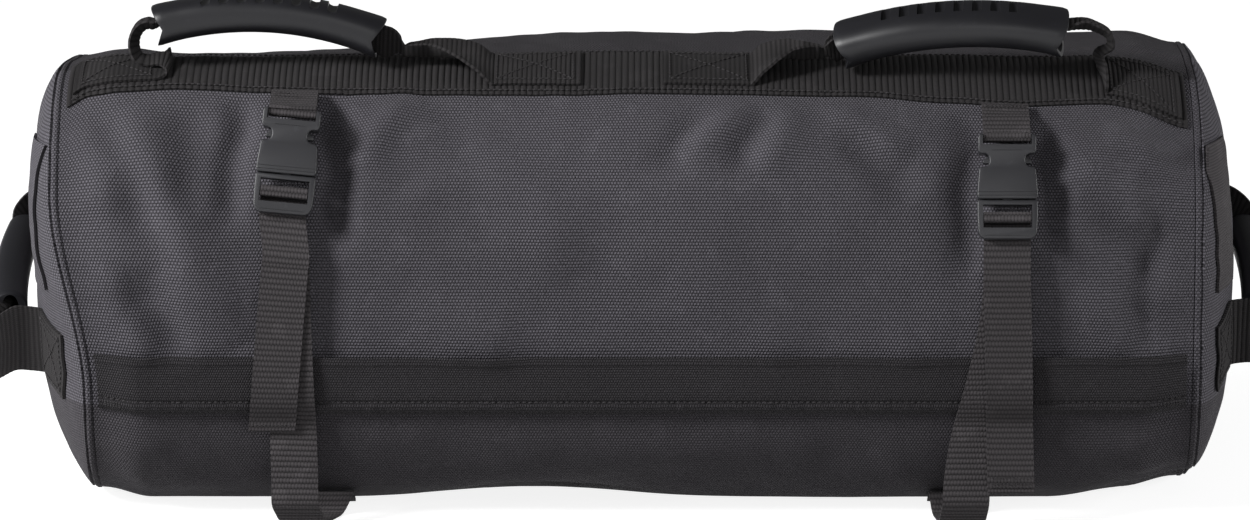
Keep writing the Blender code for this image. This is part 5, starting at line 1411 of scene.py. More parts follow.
class SANDBAG_OT_top_webbing(bpy.types.Operator):
    """Lay the webbing of the top handles: box-stitched patch, pinch, and run into the grip"""
    bl_idname = "sandbag.top_webbing"
    bl_label = "Top handle webbing"

    def execute(self, context):
        for side, word in SIDES:
            self.inner(side, word)
            self.outer(side, word)
        return {"FINISHED"}

    def finish(self, rows, word, end, x0, x1, start, stop):
        name = "top_handle_%s_webbing_%s" % (word, end)
        piece = loft_webbing(name + "_cloth", rows, HANDLE_WEB, WEB * 0.9,
                             settings()[1].handle_rib, HANDLE_RIB_HEIGHT)
        finish_piece(piece, handle_webbing(), None, "webbing", name,
                     "top_handle_%s_patch_%s" % (word, end))
        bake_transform(piece)
        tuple(start)
        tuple(stop)
        half_web = HANDLE_WEB / 2 - BOX_FROM_SIDE
        stitch_rows("top_handle_%s_stitches_%s" % (word, end),
                    box_stitch(x0, x1, BAND_GIRTH - half_web, BAND_GIRTH + half_web,
                               PATCH_LIFT + WEB / 2 + STITCH_RISE))

    def inner(self, side, word):
        """Sewn flat, it narrows like a fan to its pinch and stands up folded in the grip's end."""
        sewn = INNER_SEWN_X[word]
        patch_end = sewn - side * INNER_PATCH
        grip = grip_frame(word)
        rows = sewn_rows(patch_end, sewn, PATCH_LIFT)
        front, up = Vector((0.0, -1.0, 0.0)), Vector((0.0, 0.0, 1.0))
        normal = section_normal(girth_angle(BAND_GIRTH + slide(sewn)))
        flat = Vector((0.0, -normal.y, normal.x))
        reach = INNER_PINCHES[word]
        pinch = swing_frame(word) @ Vector((-side * reach, 0.0, 0.0))
        start = cloth_point(sewn, BAND_GIRTH, PATCH_LIFT)
        for share in FAN_SHARES:
            eased = smooth_step(share)
            centre = start.lerp(pinch, share) + up * (FAN_RISE * sin(pi * share ** 0.8))
            across = flat.lerp(front, smooth_step(share * 1.1)).normalized()
            half_width = between(HANDLE_WEB / 2, FAN_HALF, share ** 1.15)
            outward = Vector((1.0, 0.0, 0.0)).cross(across).normalized()
            outward = outward if outward.z > 0 else -outward
            tip = FAN_WAVER * share * ripple(share * 5.0, side, 1.0)
            centre += across * tip - outward * half_width * FAN_SINK * eased
            rows.append(folded_row(centre, across, outward, half_width, radians(FAN_FOLD) * eased,
                                   WEB_CELLS))
        low_pinch = pinch - up * PINCH_DROP
        rows.append(folded_row(low_pinch, front, up, PINCH_HALF, radians(PINCH_FOLD), WEB_CELLS))
        turned, across = grip.to_3x3() @ up, grip.to_3x3() @ front
        gap = reach - GRIP_LENGTH / 2
        for share, inside, half_width, drop, fold in INNER_STANDING:
            out = gap * share - inside
            x = -side * (GRIP_LENGTH / 2 + out)
            arch = GRIP_ARCH * max(0.0, 1.0 - (x * 2 / GRIP_LENGTH) ** 2)
            place = grip @ Vector((x, 0.0, arch - drop))
            if share:
                place = place.lerp(low_pinch, 0.6 * out / gap)
            rows.append(folded_row(place, across, turned, half_width, radians(fold), WEB_CELLS))
        x0, x1 = sorted((patch_end + side * BOX_FROM_END, sewn - side * BOX_FROM_FOLD))
        ends = [pinch + Vector((side * reach, 0.0, 0.0)) for reach in INNER_BLEND]
        self.finish(rows, word, "inner", x0, x1, *ends)

    def outer(self, side, word):
        """Sewn flat, it is folded up off its patch and rolled thin into a loop to the grip."""
        sewn, patch_end = side * OUTER_SEWN_X, side * (OUTER_SEWN_X + OUTER_PATCH)
        grip = grip_frame(word)
        rows = sewn_rows(patch_end, sewn, PATCH_LIFT)
        front = Vector((0.0, -1.0, 0.0))
        normal = section_normal(girth_angle(BAND_GIRTH + slide(sewn)))
        flat = Vector((0.0, -normal.y, normal.x))
        start = cloth_point(sewn, BAND_GIRTH, PATCH_LIFT)
        pinch = swing_frame(word) @ Vector((side * (GRIP_LENGTH / 2 + OUTER_PINCH), 0.0, 0.0))
        end = grip @ Vector((side * GRIP_LENGTH / 2, 0.0, 0.0))
        path = []
        for x, z, depth, half_width, fold in OUTER_RUNS[word]:
            centre = Vector((side * x, between(start.y, end.y, smooth_step(depth)), z))
            across = flat.lerp(front, smooth_step(depth * 2.0)).normalized()
            path.append((centre, across, half_width, fold))
        rows += free_rows(path, side)
        turned, across = grip.to_3x3() @ Vector((0.0, 0.0, 1.0)), grip.to_3x3() @ front
        for inside, half_width, fold in OUTER_INSIDE:
            x = side * (GRIP_LENGTH / 2 - inside)
            arch = GRIP_ARCH * (1 - (abs(x) * 2 / GRIP_LENGTH) ** 2)
            rows.append(folded_row(grip @ Vector((x, 0.0, arch)), across, turned, half_width,
                                   radians(fold), WEB_CELLS))
        x0, x1 = sorted((patch_end - side * BOX_FROM_END, sewn + side * BOX_FROM_FOLD))
        ends = [pinch + Vector((0.0, 0.0, reach)) for reach in OUTER_BLEND]
        self.finish(rows, word, "outer", x0, x1, *ends)


END_GRIP_TURNS, END_GRIP_CELLS, END_BORE_CELLS = 44, 48, 20
END_BORE_DEPTH, END_BORE_HEIGHT, END_SQUARENESS = 0.0046, 0.0080, 2.2
END_GRIP_ROUNDING = 0.0016
END_BOX_IN = 0.003               # of the box stitches from the patch's edges


class SANDBAG_OT_end_handles(bpy.types.Operator):
    """Mould the smooth end grips and lay their looped webbing"""
    bl_idname = "sandbag.end_handles"
    bl_label = "End handles"

    def execute(self, context):
        for side, word in SIDES:
            joint = JOINTS["end_handle_%s_swing" % word]
            matrix = Matrix.Translation(joint["pos_m"]) @ Matrix.Rotation(END_TILT, 4, "X")
            self.grip(side, word, matrix)
            for end, out in (("front", -1.0), ("back", 1.0)):
                self.webbing(side, word, matrix, end, out)
        return {"FINISHED"}

    def grip(self, side, word, matrix):
        half = END_GRIP_LENGTH / 2
        outside, inside = ([between(end, -end, step / cells) for step in range(cells + 1)]
                           for end, cells in ((-half, END_GRIP_CELLS), (half, END_BORE_CELLS)))
        ys, turns = outside + inside + [outside[0]], END_GRIP_TURNS

        def place(column, turn):
            y = ys[column]
            along = y / half
            if len(outside) <= column < len(outside) + len(inside):
                x, z = ring_point(turn, turns, END_SQUARENESS, END_BORE_DEPTH, END_BORE_HEIGHT)
            else:
                rim = smooth_step((abs(y) - half + END_GRIP_ROUNDING) / END_GRIP_ROUNDING)
                radius = END_GRIP_RADIUS * ((1.0 - 0.10 * rim) * (1.0 - 0.03 * along * along))
                x, z = ring_point(turn, turns, END_SQUARENESS, radius, radius)
            out = side * (END_REACH + END_GRIP_ARCH * (1.0 - along * along)) + x
            return matrix @ Vector((out, y, z))

        piece = wrapped_tube("end_grip_" + word, len(ys) - 1, turns, place)
        finish_piece(piece, grip_moulding(), "end_handle_" + word, "moulded_plastic",
                     "end_handle_%s_grip" % word)

    def on_panel(self, side, matrix, y, z, lift):
        """Place on the end panel at a place given along and across the handle."""
        spot = matrix @ Vector((0.0, y, z))
        y, height = spot.y - SHIFT_Y, spot.z - MIDDLE
        height += end_slump(side, y, height)
        return Vector((end_place(side, y, height) + side * lift, spot.y, spot.z))

    def webbing(self, side, word, matrix, end, out):
        lift = EASE + WEB / 2
        drop = FRONT_DROPS[word] if end == "front" else 0.0
        rows = []
        for reach in spread(0.0, END_PATCH, 0.003):
            y = out * (END_SPREAD / 2 + END_PATCH - reach)
            rows.append([self.on_panel(side, matrix, y,
                                       HANDLE_WEB * (cell / WEB_CELLS - 0.5) - drop, lift)
                         for cell in range(WEB_CELLS + 1)])
        upward = matrix.to_3x3() @ Vector((0.0, 0.0, 1.0))
        for x, y, half_width, fold in END_RUNS[end]:
            sag = drop * smooth_step((y - 0.052) / 0.018)
            if drop:
                out_share = smooth_step((x - 0.006) / 0.016)
                sag += FRONT_SAG * out_share * smooth_step((y - 0.050) / 0.016)
            rows.append(folded_row(matrix @ Vector((side * x, out * y, -sag)), upward,
                                   Vector((side, 0.0, 0.0)), half_width, radians(fold),
                                   WEB_CELLS))
        name = "end_handle_%s_webbing_%s" % (word, end)
        piece = loft_webbing(name + "_cloth", rows, HANDLE_WEB, WEB * 0.9,
                             settings()[1].handle_rib, HANDLE_RIB_HEIGHT)
        finish_piece(piece, handle_webbing(), None, "webbing", name,
                     "end_handle_%s_patch_%s" % (word, end))
        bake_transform(piece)
        near, far = END_SPREAD / 2 + END_BOX_IN, END_SPREAD / 2 + END_PATCH - END_BOX_IN
        high = HANDLE_WEB / 2 - END_BOX_IN
        lines = []
        for (y0, z0), (y1, z1) in (
                ((near, -high), (far, -high)), ((far, -high), (far, high)),
                ((far, high), (near, high)), ((near, high), (near, -high)),
                ((near, high - END_BOX_IN), (far, high - END_BOX_IN)),
                ((near, -high), (far, high)), ((near, high), (far, -high))):
            lines.append([(self.on_panel(side, matrix, out * between(y0, y1, step / 8),
                                         between(z0, z1, step / 8) - drop,
                                         lift + WEB / 2 + STITCH_RISE),
                           (side, 0.0, 0.0))
                          for step in range(9)])
        stitch_rows("end_handle_%s_stitches_%s" % (word, end), lines)


class SANDBAG_OT_end_bands(bpy.types.Operator):
    """Lay the webbing strips down the end panels"""
    bl_idname = "sandbag.end_bands"
    bl_label = "End strips"

    def execute(self, context):
        for side, word in SIDES:
            low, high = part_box("end_band_" + word)
            width = high.y - low.y
            middle = (low.y + high.y) / 2 - SHIFT_Y + LEFT_STRIP_BACK * (side < 0)
            rows = []
            for z in spread(low.z - MIDDLE, high.z - MIDDLE, 0.004):
                row = []
                for cell in range(WEB_CELLS + 1):
                    y = middle + width * (cell / WEB_CELLS - 0.5)
                    x = end_place(side, y, z + end_slump(side, y, z)) + side * (EASE + WEB / 2)
                    row.append(Vector((x, y + SHIFT_Y, MIDDLE + z)))
                rows.append(row)
            piece = loft_webbing("end_strip_" + word, rows, width, WEB * 0.9, STRIP_RIB, 0.00012)
            look = strip_webbing() if side > 0 else bag_cloth()
            finish_piece(piece, look, "bag", "webbing", "end_band_" + word)
        return {"FINISHED"}


def plate(name, outline, thickness, rounding):
    """A flat outline, across and up, made a plate that faces -Y, with rounded edges."""
    mesh = bpy.data.meshes.new(name)
    mesh.from_pydata([(u, -thickness / 2, w) for u, w in outline], [],
                     [tuple(range(len(outline)))])
    piece = bpy.data.objects.new(name, mesh)
    bpy.context.scene.collection.objects.link(piece)
    edit_mesh(piece,
              lambda: bpy.ops.mesh.extrude_region_move(
                  TRANSFORM_OT_translate={"value": (0.0, thickness, 0.0)}),
              lambda: bpy.ops.mesh.select_all(action="SELECT"), face_outwards)
    bevel = piece.modifiers.new("edges", "BEVEL")
    bevel.width, bevel.segments = rounding, 3
    bevel.limit_method, bevel.angle_limit = "ANGLE", SHARP
    apply_all(piece)
    return piece


def mirrored(half_outline):
    return half_outline + [(-across, up) for across, up in reversed(half_outline)]


def cut_boxes(piece, boxes, operation="DIFFERENCE"):
    """Cut boxes, each a size and a middle, out of a piece, or join them to it."""
    for size, middle in boxes:
        deselect_all()
        bpy.ops.mesh.primitive_cube_add(size=1.0)
        cutter = bpy.context.object
        cutter.data.transform(Matrix.Translation(middle) @ Matrix.Diagonal((*size, 1.0)))
        tool = piece.modifiers.new("cut", "BOOLEAN")
        tool.operation, tool.solver, tool.object = operation, "EXACT", cutter
        apply_all(piece)
        bpy.data.objects.remove(cutter)


def buckle_frame(word):
    turned = Matrix.Rotation(-BUCKLE_LEAN, 4, "X") @ Matrix.Rotation(BUCKLE_TURNS[word], 4, "Y")
    ends = [Vector(JOINTS["buckle_%s_squeeze_%s" % (word, end)]["pos_m"]) for end in "ab"]
    middle = (ends[0] + ends[1]) / 2 - turned.to_3x3() @ Vector((0.0, 0.0, ARM_STAND))
    return Matrix.Translation(middle) @ turned


def place_moulding(piece, matrix, body, node):
    piece.data.transform(matrix)
    smooth(piece)
    return finish_piece(piece, moulding(), body, "moulded_plastic", node)


class SANDBAG_OT_buckles(bpy.types.Operator):
    """Mould the side-release buckles: sockets, plugs with their bars, and springing arms"""
    bl_idname = "sandbag.buckles"
    bl_label = "Buckles"

    def execute(self, context):
        for word in ("left", "right"):
            matrix = buckle_frame(word)
            self.socket(word, matrix)
            self.plug(word, matrix)
            self.arms(word, matrix)
        return {"FINISHED"}

    def socket(self, word, matrix):
        half = BUCKLE_HALF_WIDTH
        waist_top = SOCKET_RIM + WAIST_LENGTH
        outline = [(half - 0.0010, 0.0), (half, 0.0010), (half, 0.0042),
                   (half - 0.0009, SOCKET_RIM - 0.0016), (half - 0.0013, SOCKET_RIM - 0.0006)]
        for step in range(13):
            turn = pi * step / 12
            outline.append((half - 0.0019 - 0.0047 * sin(turn) ** 0.55,
                            SOCKET_RIM + WAIST_LENGTH * (1.0 - cos(turn)) / 2))
        outline += [(half - 0.0012, waist_top + 0.0005), (half - 0.0006, waist_top + 0.0016),
                    (half - 0.0006, SOCKET_TOP - 0.0022), (half - 0.0012, SOCKET_TOP - 0.0007),
                    (half - 0.0024, SOCKET_TOP)]
        piece = plate("buckle_housing_" + word, mirrored(outline), SOCKET, 0.0013)
        bar_up = FLANGE_TOP + (SOCKET_TOP - FLANGE_TOP) / 2 + 0.001
        thin = (SLOT_WIDTH, SOCKET, SOCKET_TOP - FLANGE_TOP + 0.002)
        out, rim, groove = BAR / 2 + SOCKET / 2, SOCKET / 2, (0.04, 0.0007, 0.00045)
        cut_boxes(piece, (
            ((POCKET[0], POCKET[1], POCKET[2] + 0.002), (0.0, 0.0, (POCKET[2] - 0.002) / 2)),
            ((SLOT_WIDTH, 0.02, SLOT_LENGTH), (0.0, 0.0, FLANGE_TOP + SLOT_LENGTH / 2)),
            (thin, (0.0, -out, bar_up)), (thin, (0.0, out, bar_up)),
            (groove, (0.0, -rim, 0.0016)), (groove, (0.0, -rim, 0.0034)),
            ((0.016, 0.0006, 0.00045), (0.0, -rim, waist_top + 0.0014))))
        place_moulding(piece, matrix, "bag", "buckle_socket_" + word)

    def plug(self, word, matrix):
        half, length = BUCKLE_HALF_WIDTH, sum(PLUG_BARS)
        top_rail, upper_slot, bar, lower_slot = PLUG_BARS[:4]
        outline = []
        for step in range(9):
            turn = pi / 2 * step / 8
            outline.append((half - 0.0048 + 0.0044 * sin(turn),
                            0.0048 - 0.0048 * cos(turn) - length))
        outline += [(half, -0.0082), (half, -0.0014), (half - 0.0009, -GAP)]
        piece = plate("buckle_frame_" + word, mirrored(outline), PLUG, 0.0011)
        upper = -top_rail - upper_slot / 2
        lower = -top_rail - upper_slot - bar - lower_slot / 2
        bar_up = -top_rail - upper_slot - bar / 2
        thin = (SLOT_WIDTH, PLUG, bar + 0.002)
        out = bar / 2 + PLUG / 2
        cut_boxes(piece, (((SLOT_WIDTH, 0.02, upper_slot), (0.0, 0.0, upper)),
                          ((SLOT_WIDTH, 0.02, lower_slot), (0.0, 0.0, lower)),
                          (thin, (0.0, -out, bar_up)), (thin, (0.0, out, bar_up)),
                          ((0.024, 0.0006, 0.0004), (0.0, -PLUG / 2, -length + 0.0016))))
        cut_boxes(piece, (((TONGUE[0], TONGUE[1], TONGUE[2] + top_rail / 2),
                           (0.0, 0.0, (TONGUE[2] - top_rail / 2) / 2)),), "UNION")
        place_moulding(piece, matrix, "bag", "buckle_plug_" + word)

    def arms(self, word, matrix):
        low, top = BARB_LOW - ARM_STAND, BARB_LOW + BARB_LENGTH - ARM_STAND
        tip = BARB_REACH - ARM_ROOT - ARM_WIDTH / 2
        for across, end in ((-1.0, "a"), (1.0, "b")):
            outline = [(-ARM_WIDTH / 2, 0.0), (ARM_WIDTH / 2, 0.0), (ARM_WIDTH / 2, low - 0.0006),
                       (ARM_WIDTH / 2 + 0.0006, low), (tip - 0.0008, low), (tip, low + 0.0008),
                       (tip * 0.8, low + 0.0022), (ARM_WIDTH / 2, top), (-ARM_WIDTH / 2, top)]
            outline = [(across * u, w) for u, w in outline]
            name = "buckle_arm_%s_%s" % (word, end)
            piece = plate("latch_%s_%s" % (word, end), outline, ARM_THICKNESS, 0.0004)
            shift = Matrix.Translation((across * (ARM_ROOT + ARM_WIDTH / 2), 0.0, ARM_STAND))
            place_moulding(piece, matrix @ shift, name, name)


STRAP_CELLS, STRAP_RIB_HEIGHT, ANCHOR_RIB_HEIGHT = 10, 0.00040, 0.0002
TAB_STITCHES = (0.25, 0.42)      # shares of the way from the band to the buckle
TAB_STITCH_RISE = (0.0, -0.0009, 0.0006)
HEM_RISES = (0.0032, 0.0050, 0.0084)     # of the sewn rows over the free tail's end
TAIL_LIFT = 0.0012               # of the free tail's end off the run behind it


class SANDBAG_OT_straps(bpy.types.Operator):
    """Lay the buckle straps: sewn tab, turn round the plug's bar, free tail, load run and loop"""
    bl_idname = "sandbag.straps"
    bl_label = "Buckle straps"

    def execute(self, context):
        for word in ("left", "right"):
            self.matrix = buckle_frame(word)
            self.across = self.matrix.to_3x3() @ Vector((1.0, 0.0, 0.0))
            self.tab(word)
            self.strap(word)
        return {"FINISHED"}

    def at(self, out, up):
        """Place on the buckle's middle plane, in front of it and up along it."""
        return self.matrix @ Vector((0.0, -out, up))

    def ribbon(self, name, stations, node):
        rows = [[centre + turned * (STRAP_WIDTH * (cell / STRAP_CELLS - 0.5))
                 for cell in range(STRAP_CELLS + 1)] for centre, turned in stations]
        piece = loft_webbing(name, rows, STRAP_WIDTH, STRAP * 0.8, settings()[1].strap_rib,
                             STRAP_RIB_HEIGHT)
        return finish_piece(piece, strap_webbing(), "bag", "webbing", node)

    def tab(self, word):
        at = self.at
        bar_out, bar_low = BAR / 2 + STRAP_CLEAR, FLANGE_TOP + SLOT_LENGTH - STRAP_CLEAR
        band_low = BAND_GIRTH - BAND_WIDTH / 2 - STRAP - GAP
        x = BUCKLE_XS[word] + (at(0.0, SOCKET_TOP) - at(0.0, 0.0)).x
        top_girth = girth_at_height(at(0.0, SOCKET_TOP + STRAP_CLEAR).z)
        half_girth = (band_low + top_girth) / 2
        inner = STRAP_SLACK + STRAP_CLEAR
        outer = inner + STRAP + STRAP_LAYER
        corners = [form_point(x, band_low, inner), at(-bar_out, SOCKET_TOP + STRAP_CLEAR),
                   at(-bar_out, bar_low), at(bar_out, bar_low),
                   at(bar_out, SOCKET_TOP + STRAP_CLEAR), form_point(x, band_low, outer)]
        if band_low - top_girth > TAB_ROOM:
            corners.insert(1, form_point(x, half_girth, inner + TAB_BOW))
            corners.insert(-1, form_point(x, half_girth, outer + TAB_BOW))
        points = rounded_path(corners, STRAP_CLEAR, 3)
        along_band = form_point(x + STRAP_WIDTH, band_low) - form_point(x - STRAP_WIDTH, band_low)
        along_band.normalize()
        stations = []
        for number, point in enumerate(points):
            sewn = smooth_step(abs(2.0 * number / (len(points) - 1) - 1.0) * 3.0 - 2.0)
            stations.append((point, self.across.lerp(along_band, sewn).normalized()))
        self.ribbon("tab_webbing_" + word, stations, "strap_tab_" + word)
        low, high = form_point(x, band_low, outer), corners[-2]
        rows = []
        for share in TAB_STITCHES:
            centre = low.lerp(high, share) + Vector(TAB_STITCH_RISE)
            rows.append([(centre + self.across * (STRAP_WIDTH * (cell / 8 - 0.5) * 0.86),
                          (0.0, -0.8, 0.6)) for cell in range(9)])
        stitch_rows("tab_stitches_" + word, rows, "strap")

    def strap(self, word):
        at = self.at
        x, height = BUCKLE_XS[word], BUCKLE_HEIGHTS[word]
        top_rail, upper_slot, bar = PLUG_BARS[:3]
        plug_low, layer = -sum(PLUG_BARS), STRAP + STRAP_LAYER
        tail_out = PLUG / 2 + STRAP_CLEAR
        run_out, wrap_out = tail_out + layer, bar / 2 + STRAP_CLEAR
        upper_up = -top_rail - upper_slot + STRAP_CLEAR
        lower_up = -top_rail - upper_slot - bar - STRAP_CLEAR

        def run_lift(girth):
            share = smooth_step((girth - FLAP_LOW) / (FLAP_HIGH - FLAP_LOW) * 2.0)
            return FLAP_STAND_OFF * share + FABRIC + EASE + STRAP_SLACK + STRAP_CLEAR

        hang = form_point(x, FLAP_LOW, run_lift(FLAP_LOW))

        def below(height, drift, layer):
            girth = girth_at_height(height)
            place = form_point(x, girth, run_lift(girth) + layer)
            if girth <= FLAP_LOW:
                place = Vector((x, hang.y - layer, height))
            place.x = x + drift
            return place

        high = height - DROP_BELOW_PLUG
        tail_drift, run_drift, loop_drift = TAIL_DRIFTS[word], RUN_DRIFTS[word], LOOP_DRIFTS[word]
        tail = [below(between(TAIL_ENDS[word], high, step / 12),
                      tail_drift * (1.0 - step / 12), layer) for step in range(13)]
        for number, place in enumerate(tail):
            place.y -= TAIL_LIFT * (1.0 - number / 12) ** 2
        run = [below(between(high, FOLD_HEIGHT, step / 14),
                     run_drift * smooth_step(step / 14), 0.0) for step in range(15)]
        wrap = rounded_path([at(-tail_out, plug_low), at(-tail_out, lower_up),
                             at(wrap_out, lower_up), at(wrap_out, upper_up),
                             at(-run_out, upper_up), at(-run_out, plug_low)], STRAP_CLEAR, 3)
        fold_x, floor = x + run_drift, STRAP / 2 + 0.0002
        girth, anchor_x = girth_at_height(ANCHOR_HEIGHT), fold_x + loop_drift
        anchor = form_point(anchor_x, girth + STRAP, STRAP_SLACK + STRAP / 2)
        lead = form_point(anchor_x, girth + ANCHOR_LEAD, STRAP_SLACK + STRAP / 2)
        front_y = SHIFT_Y - LOOP_FRONT
        loop = rounded_path([run[-1], Vector((fold_x + loop_drift * 0.2, front_y, floor)),
                             Vector((fold_x + loop_drift * 0.7, lead.y, floor)), lead, anchor],
                            FOLD_HEIGHT / 2, 5)[1:]
        level, stations = Vector((1.0, 0.0, 0.0)), []
        first, last = len(tail), len(tail) + len(wrap)
        for number, centre in enumerate(tail + wrap + run + loop):
            turned = self.across
            if number < first:
                turned = level.lerp(self.across, number / first)
            elif number >= last:
                turned = self.across.lerp(level, min(1.0, (number - last) / len(run)))
            stations.append((centre, turned.normalized()))
        self.ribbon("strap_webbing_" + word, stations, "strap_" + word)
        low = tail[0]
        rows = []
        for rise in HEM_RISES:
            place = Vector((low.x, low.y - STRAP / 2 - STITCH_RISE, low.z + rise))
            rows.append([(place + level * (STRAP_WIDTH * (cell / 8 - 0.5) * 0.9), (0.0, -1.0, 0.0))
                         for cell in range(9)])
        stitch_rows("hem_stitches_" + word, rows, "strap")
        rows = []
        for step in range(7):
            below_edge = girth - ANCHOR_LENGTH * (1.0 - step / 6)
            rows.append([form_point(anchor_x + STRAP_WIDTH * (cell / STRAP_CELLS - 0.5),
                                    below_edge, EASE + STRAP / 2)
                         for cell in range(STRAP_CELLS + 1)])
        piece = loft_webbing("anchor_webbing_" + word, rows, STRAP_WIDTH, STRAP * 0.9,
                             settings()[1].strap_rib, ANCHOR_RIB_HEIGHT)
        finish_piece(piece, strap_webbing(), "bag", "webbing", "strap_anchor_" + word)


# The flap's cloth: the wave of its free edge, the ridge over its sewn rows, the hem's step, and
# how far stitches, the cloth between them and its lower edge are drawn in
FLAP_WAVE, FLAP_RIDGE, HEM_STEP = 0.0010, 0.0010, 0.0007
DRAWN_BETWEEN, DRAWN_BY_STITCH, DRAWN_HALF, DRAWN_EDGE = 0.0008, 0.0006, 0.0010, 0.0015


def flap_lift(x, girth):
    """How far the flap's inner face stands off the cloth, with its sewn rows and its hem."""
    share = (girth - FLAP_LOW) / (FLAP_HIGH - FLAP_LOW)
    wave = FLAP_WAVE * ripple(x * 22.0, 2.0) * smooth_step(share * 1.4 - 0.3)
    low, high = FLAP_STITCHES
    ridge = FLAP_RIDGE * smooth_step(1.6 - abs(2.0 * girth - low - high) / (high - low))
    ridge *= 1.0 + 0.5 * ripple(x * 260.0, girth * 300.0, 6.0)
    ridge += HEM_STEP * smooth_step((girth - FLAP_HIGH + FLAP_HEM) / 0.0012)
    drawn = max(exp(-((girth - row) / DRAWN_HALF) ** 2) for row in FLAP_STITCHES)
    drawn *= DRAWN_BETWEEN + DRAWN_BY_STITCH * sin(pi * x / STITCH_PITCH) ** 2
    drawn += DRAWN_EDGE * smooth_step(1.0 - (girth - FLAP_SEWN) / 0.0022)
    return EASE + (FLAP_STAND_OFF - EASE) * smooth_step(share * 2.0) + wave + ridge - drawn


class SANDBAG_OT_stitching(bpy.types.Operator):
    """Sew the flap, the ends of its seam and both edges of the band"""
    bl_idname = "sandbag.stitching"
    bl_label = "Stitching"

    def execute(self, context):
        reach = HALF_PANEL - FLAP_END_MARGIN - 0.003
        rows = [self.flap_row(-reach, reach, girth) for girth in FLAP_STITCHES]
        stitch_rows("flap_stitches", rows, "flap")
        low, high = FLAP_STITCHES
        tacks = []
        for side in (-1.0, 1.0):
            ends = sorted((side * reach, side * (reach - 0.009)))
            tacks += [self.flap_row(*ends, between(low - 0.001, high + 0.001, step / 6))
                      for step in range(7)]
        stitch_rows("flap_tacks", tacks, "tack")
        reach, half_sewn = HALF_PANEL - 0.005, BAND_WIDTH / 2 - 0.0022
        rows = [self.row(-reach, reach, BAND_GIRTH + edge * half_sewn, lambda x: WEB + 0.0006)
                for edge in (-1.0, 1.0)]
        stitch_rows("band_stitches", rows, "band")
        return {"FINISHED"}

    def flap_row(self, low, high, girth):
        return self.row(low, high, girth, lambda x: flap_lift(x, girth) + FABRIC)

    def row(self, low, high, girth, lift):
        row = []
        for x in spread(low, high, 0.004):
            normal = section_normal(girth_angle(girth + slide(x) * float(girth > 0.08)))
            row.append((cloth_point(x, girth, lift(x) + 0.0002), (0.0, normal.x, normal.y)))
        return row


TAPE_CELLS, TAPE_THICKNESS, TAPE_RIB, TAPE_RIB_HEIGHT = 6, 0.0008, 0.0016, 0.0001
TAPE_FROM_MIDDLE, COIL_OVER_TAPE, COIL_END = 0.0021, 0.0006, 0.002


class SANDBAG_OT_zip(bpy.types.Operator):
    """Weave the zip's tapes and lay its two rows of coil behind the flap"""
    bl_idname = "sandbag.zip"
    bl_label = "Zip"

    def execute(self, context):
        normal = section_normal(girth_angle(ZIP_GIRTH))
        upward = Vector((0.0, -normal.y, -normal.x))
        middle = form_point(0.0, ZIP_GIRTH)
        for word, sign in (("upper", 1.0), ("lower", -1.0)):
            low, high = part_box("zip_tape_" + word)
            depth = (low.y + high.y) / 2 - middle.y
            near = middle + Vector((0.0, depth, 0.0)) + upward * (sign * TAPE_FROM_MIDDLE)
            rows = []
            for x in spread(low.x, high.x, 0.006):
                start = Vector((x, near.y, near.z))
                rows.append([start + upward * (sign * TAPE_HEIGHT * (cell / TAPE_CELLS))
                             for cell in range(TAPE_CELLS + 1)])
            piece = loft_webbing("zip_tape_cloth_" + word, rows, TAPE_HEIGHT, TAPE_THICKNESS,
                                 TAPE_RIB, TAPE_RIB_HEIGHT)
            finish_piece(piece, flap_cloth(), "bag", "webbing", "zip_tape_" + word)
            outward = (0.0, normal.x, normal.y)
            coil = [(Vector((x, near.y, near.z)) - upward * (sign * COIL_OVER_TAPE), outward)
                    for x in spread(low.x + COIL_END, high.x - COIL_END, 0.01)]
            stitch_rows("zip_coil_" + word, [coil], "coil")
        return {"FINISHED"}


PILLOW_CUTS, PILLOW_SQUARENESS, PILLOW_CHART = 22, 4.0, 0.8
POUCH_INSET, POUCH_DENT, SAND_INSET, SAND_DENT = 0.0006, 0.0026, 0.0008, 0.0012
HOOK_CORNER, HOOK_ROUNDING = 0.001, 0.0005


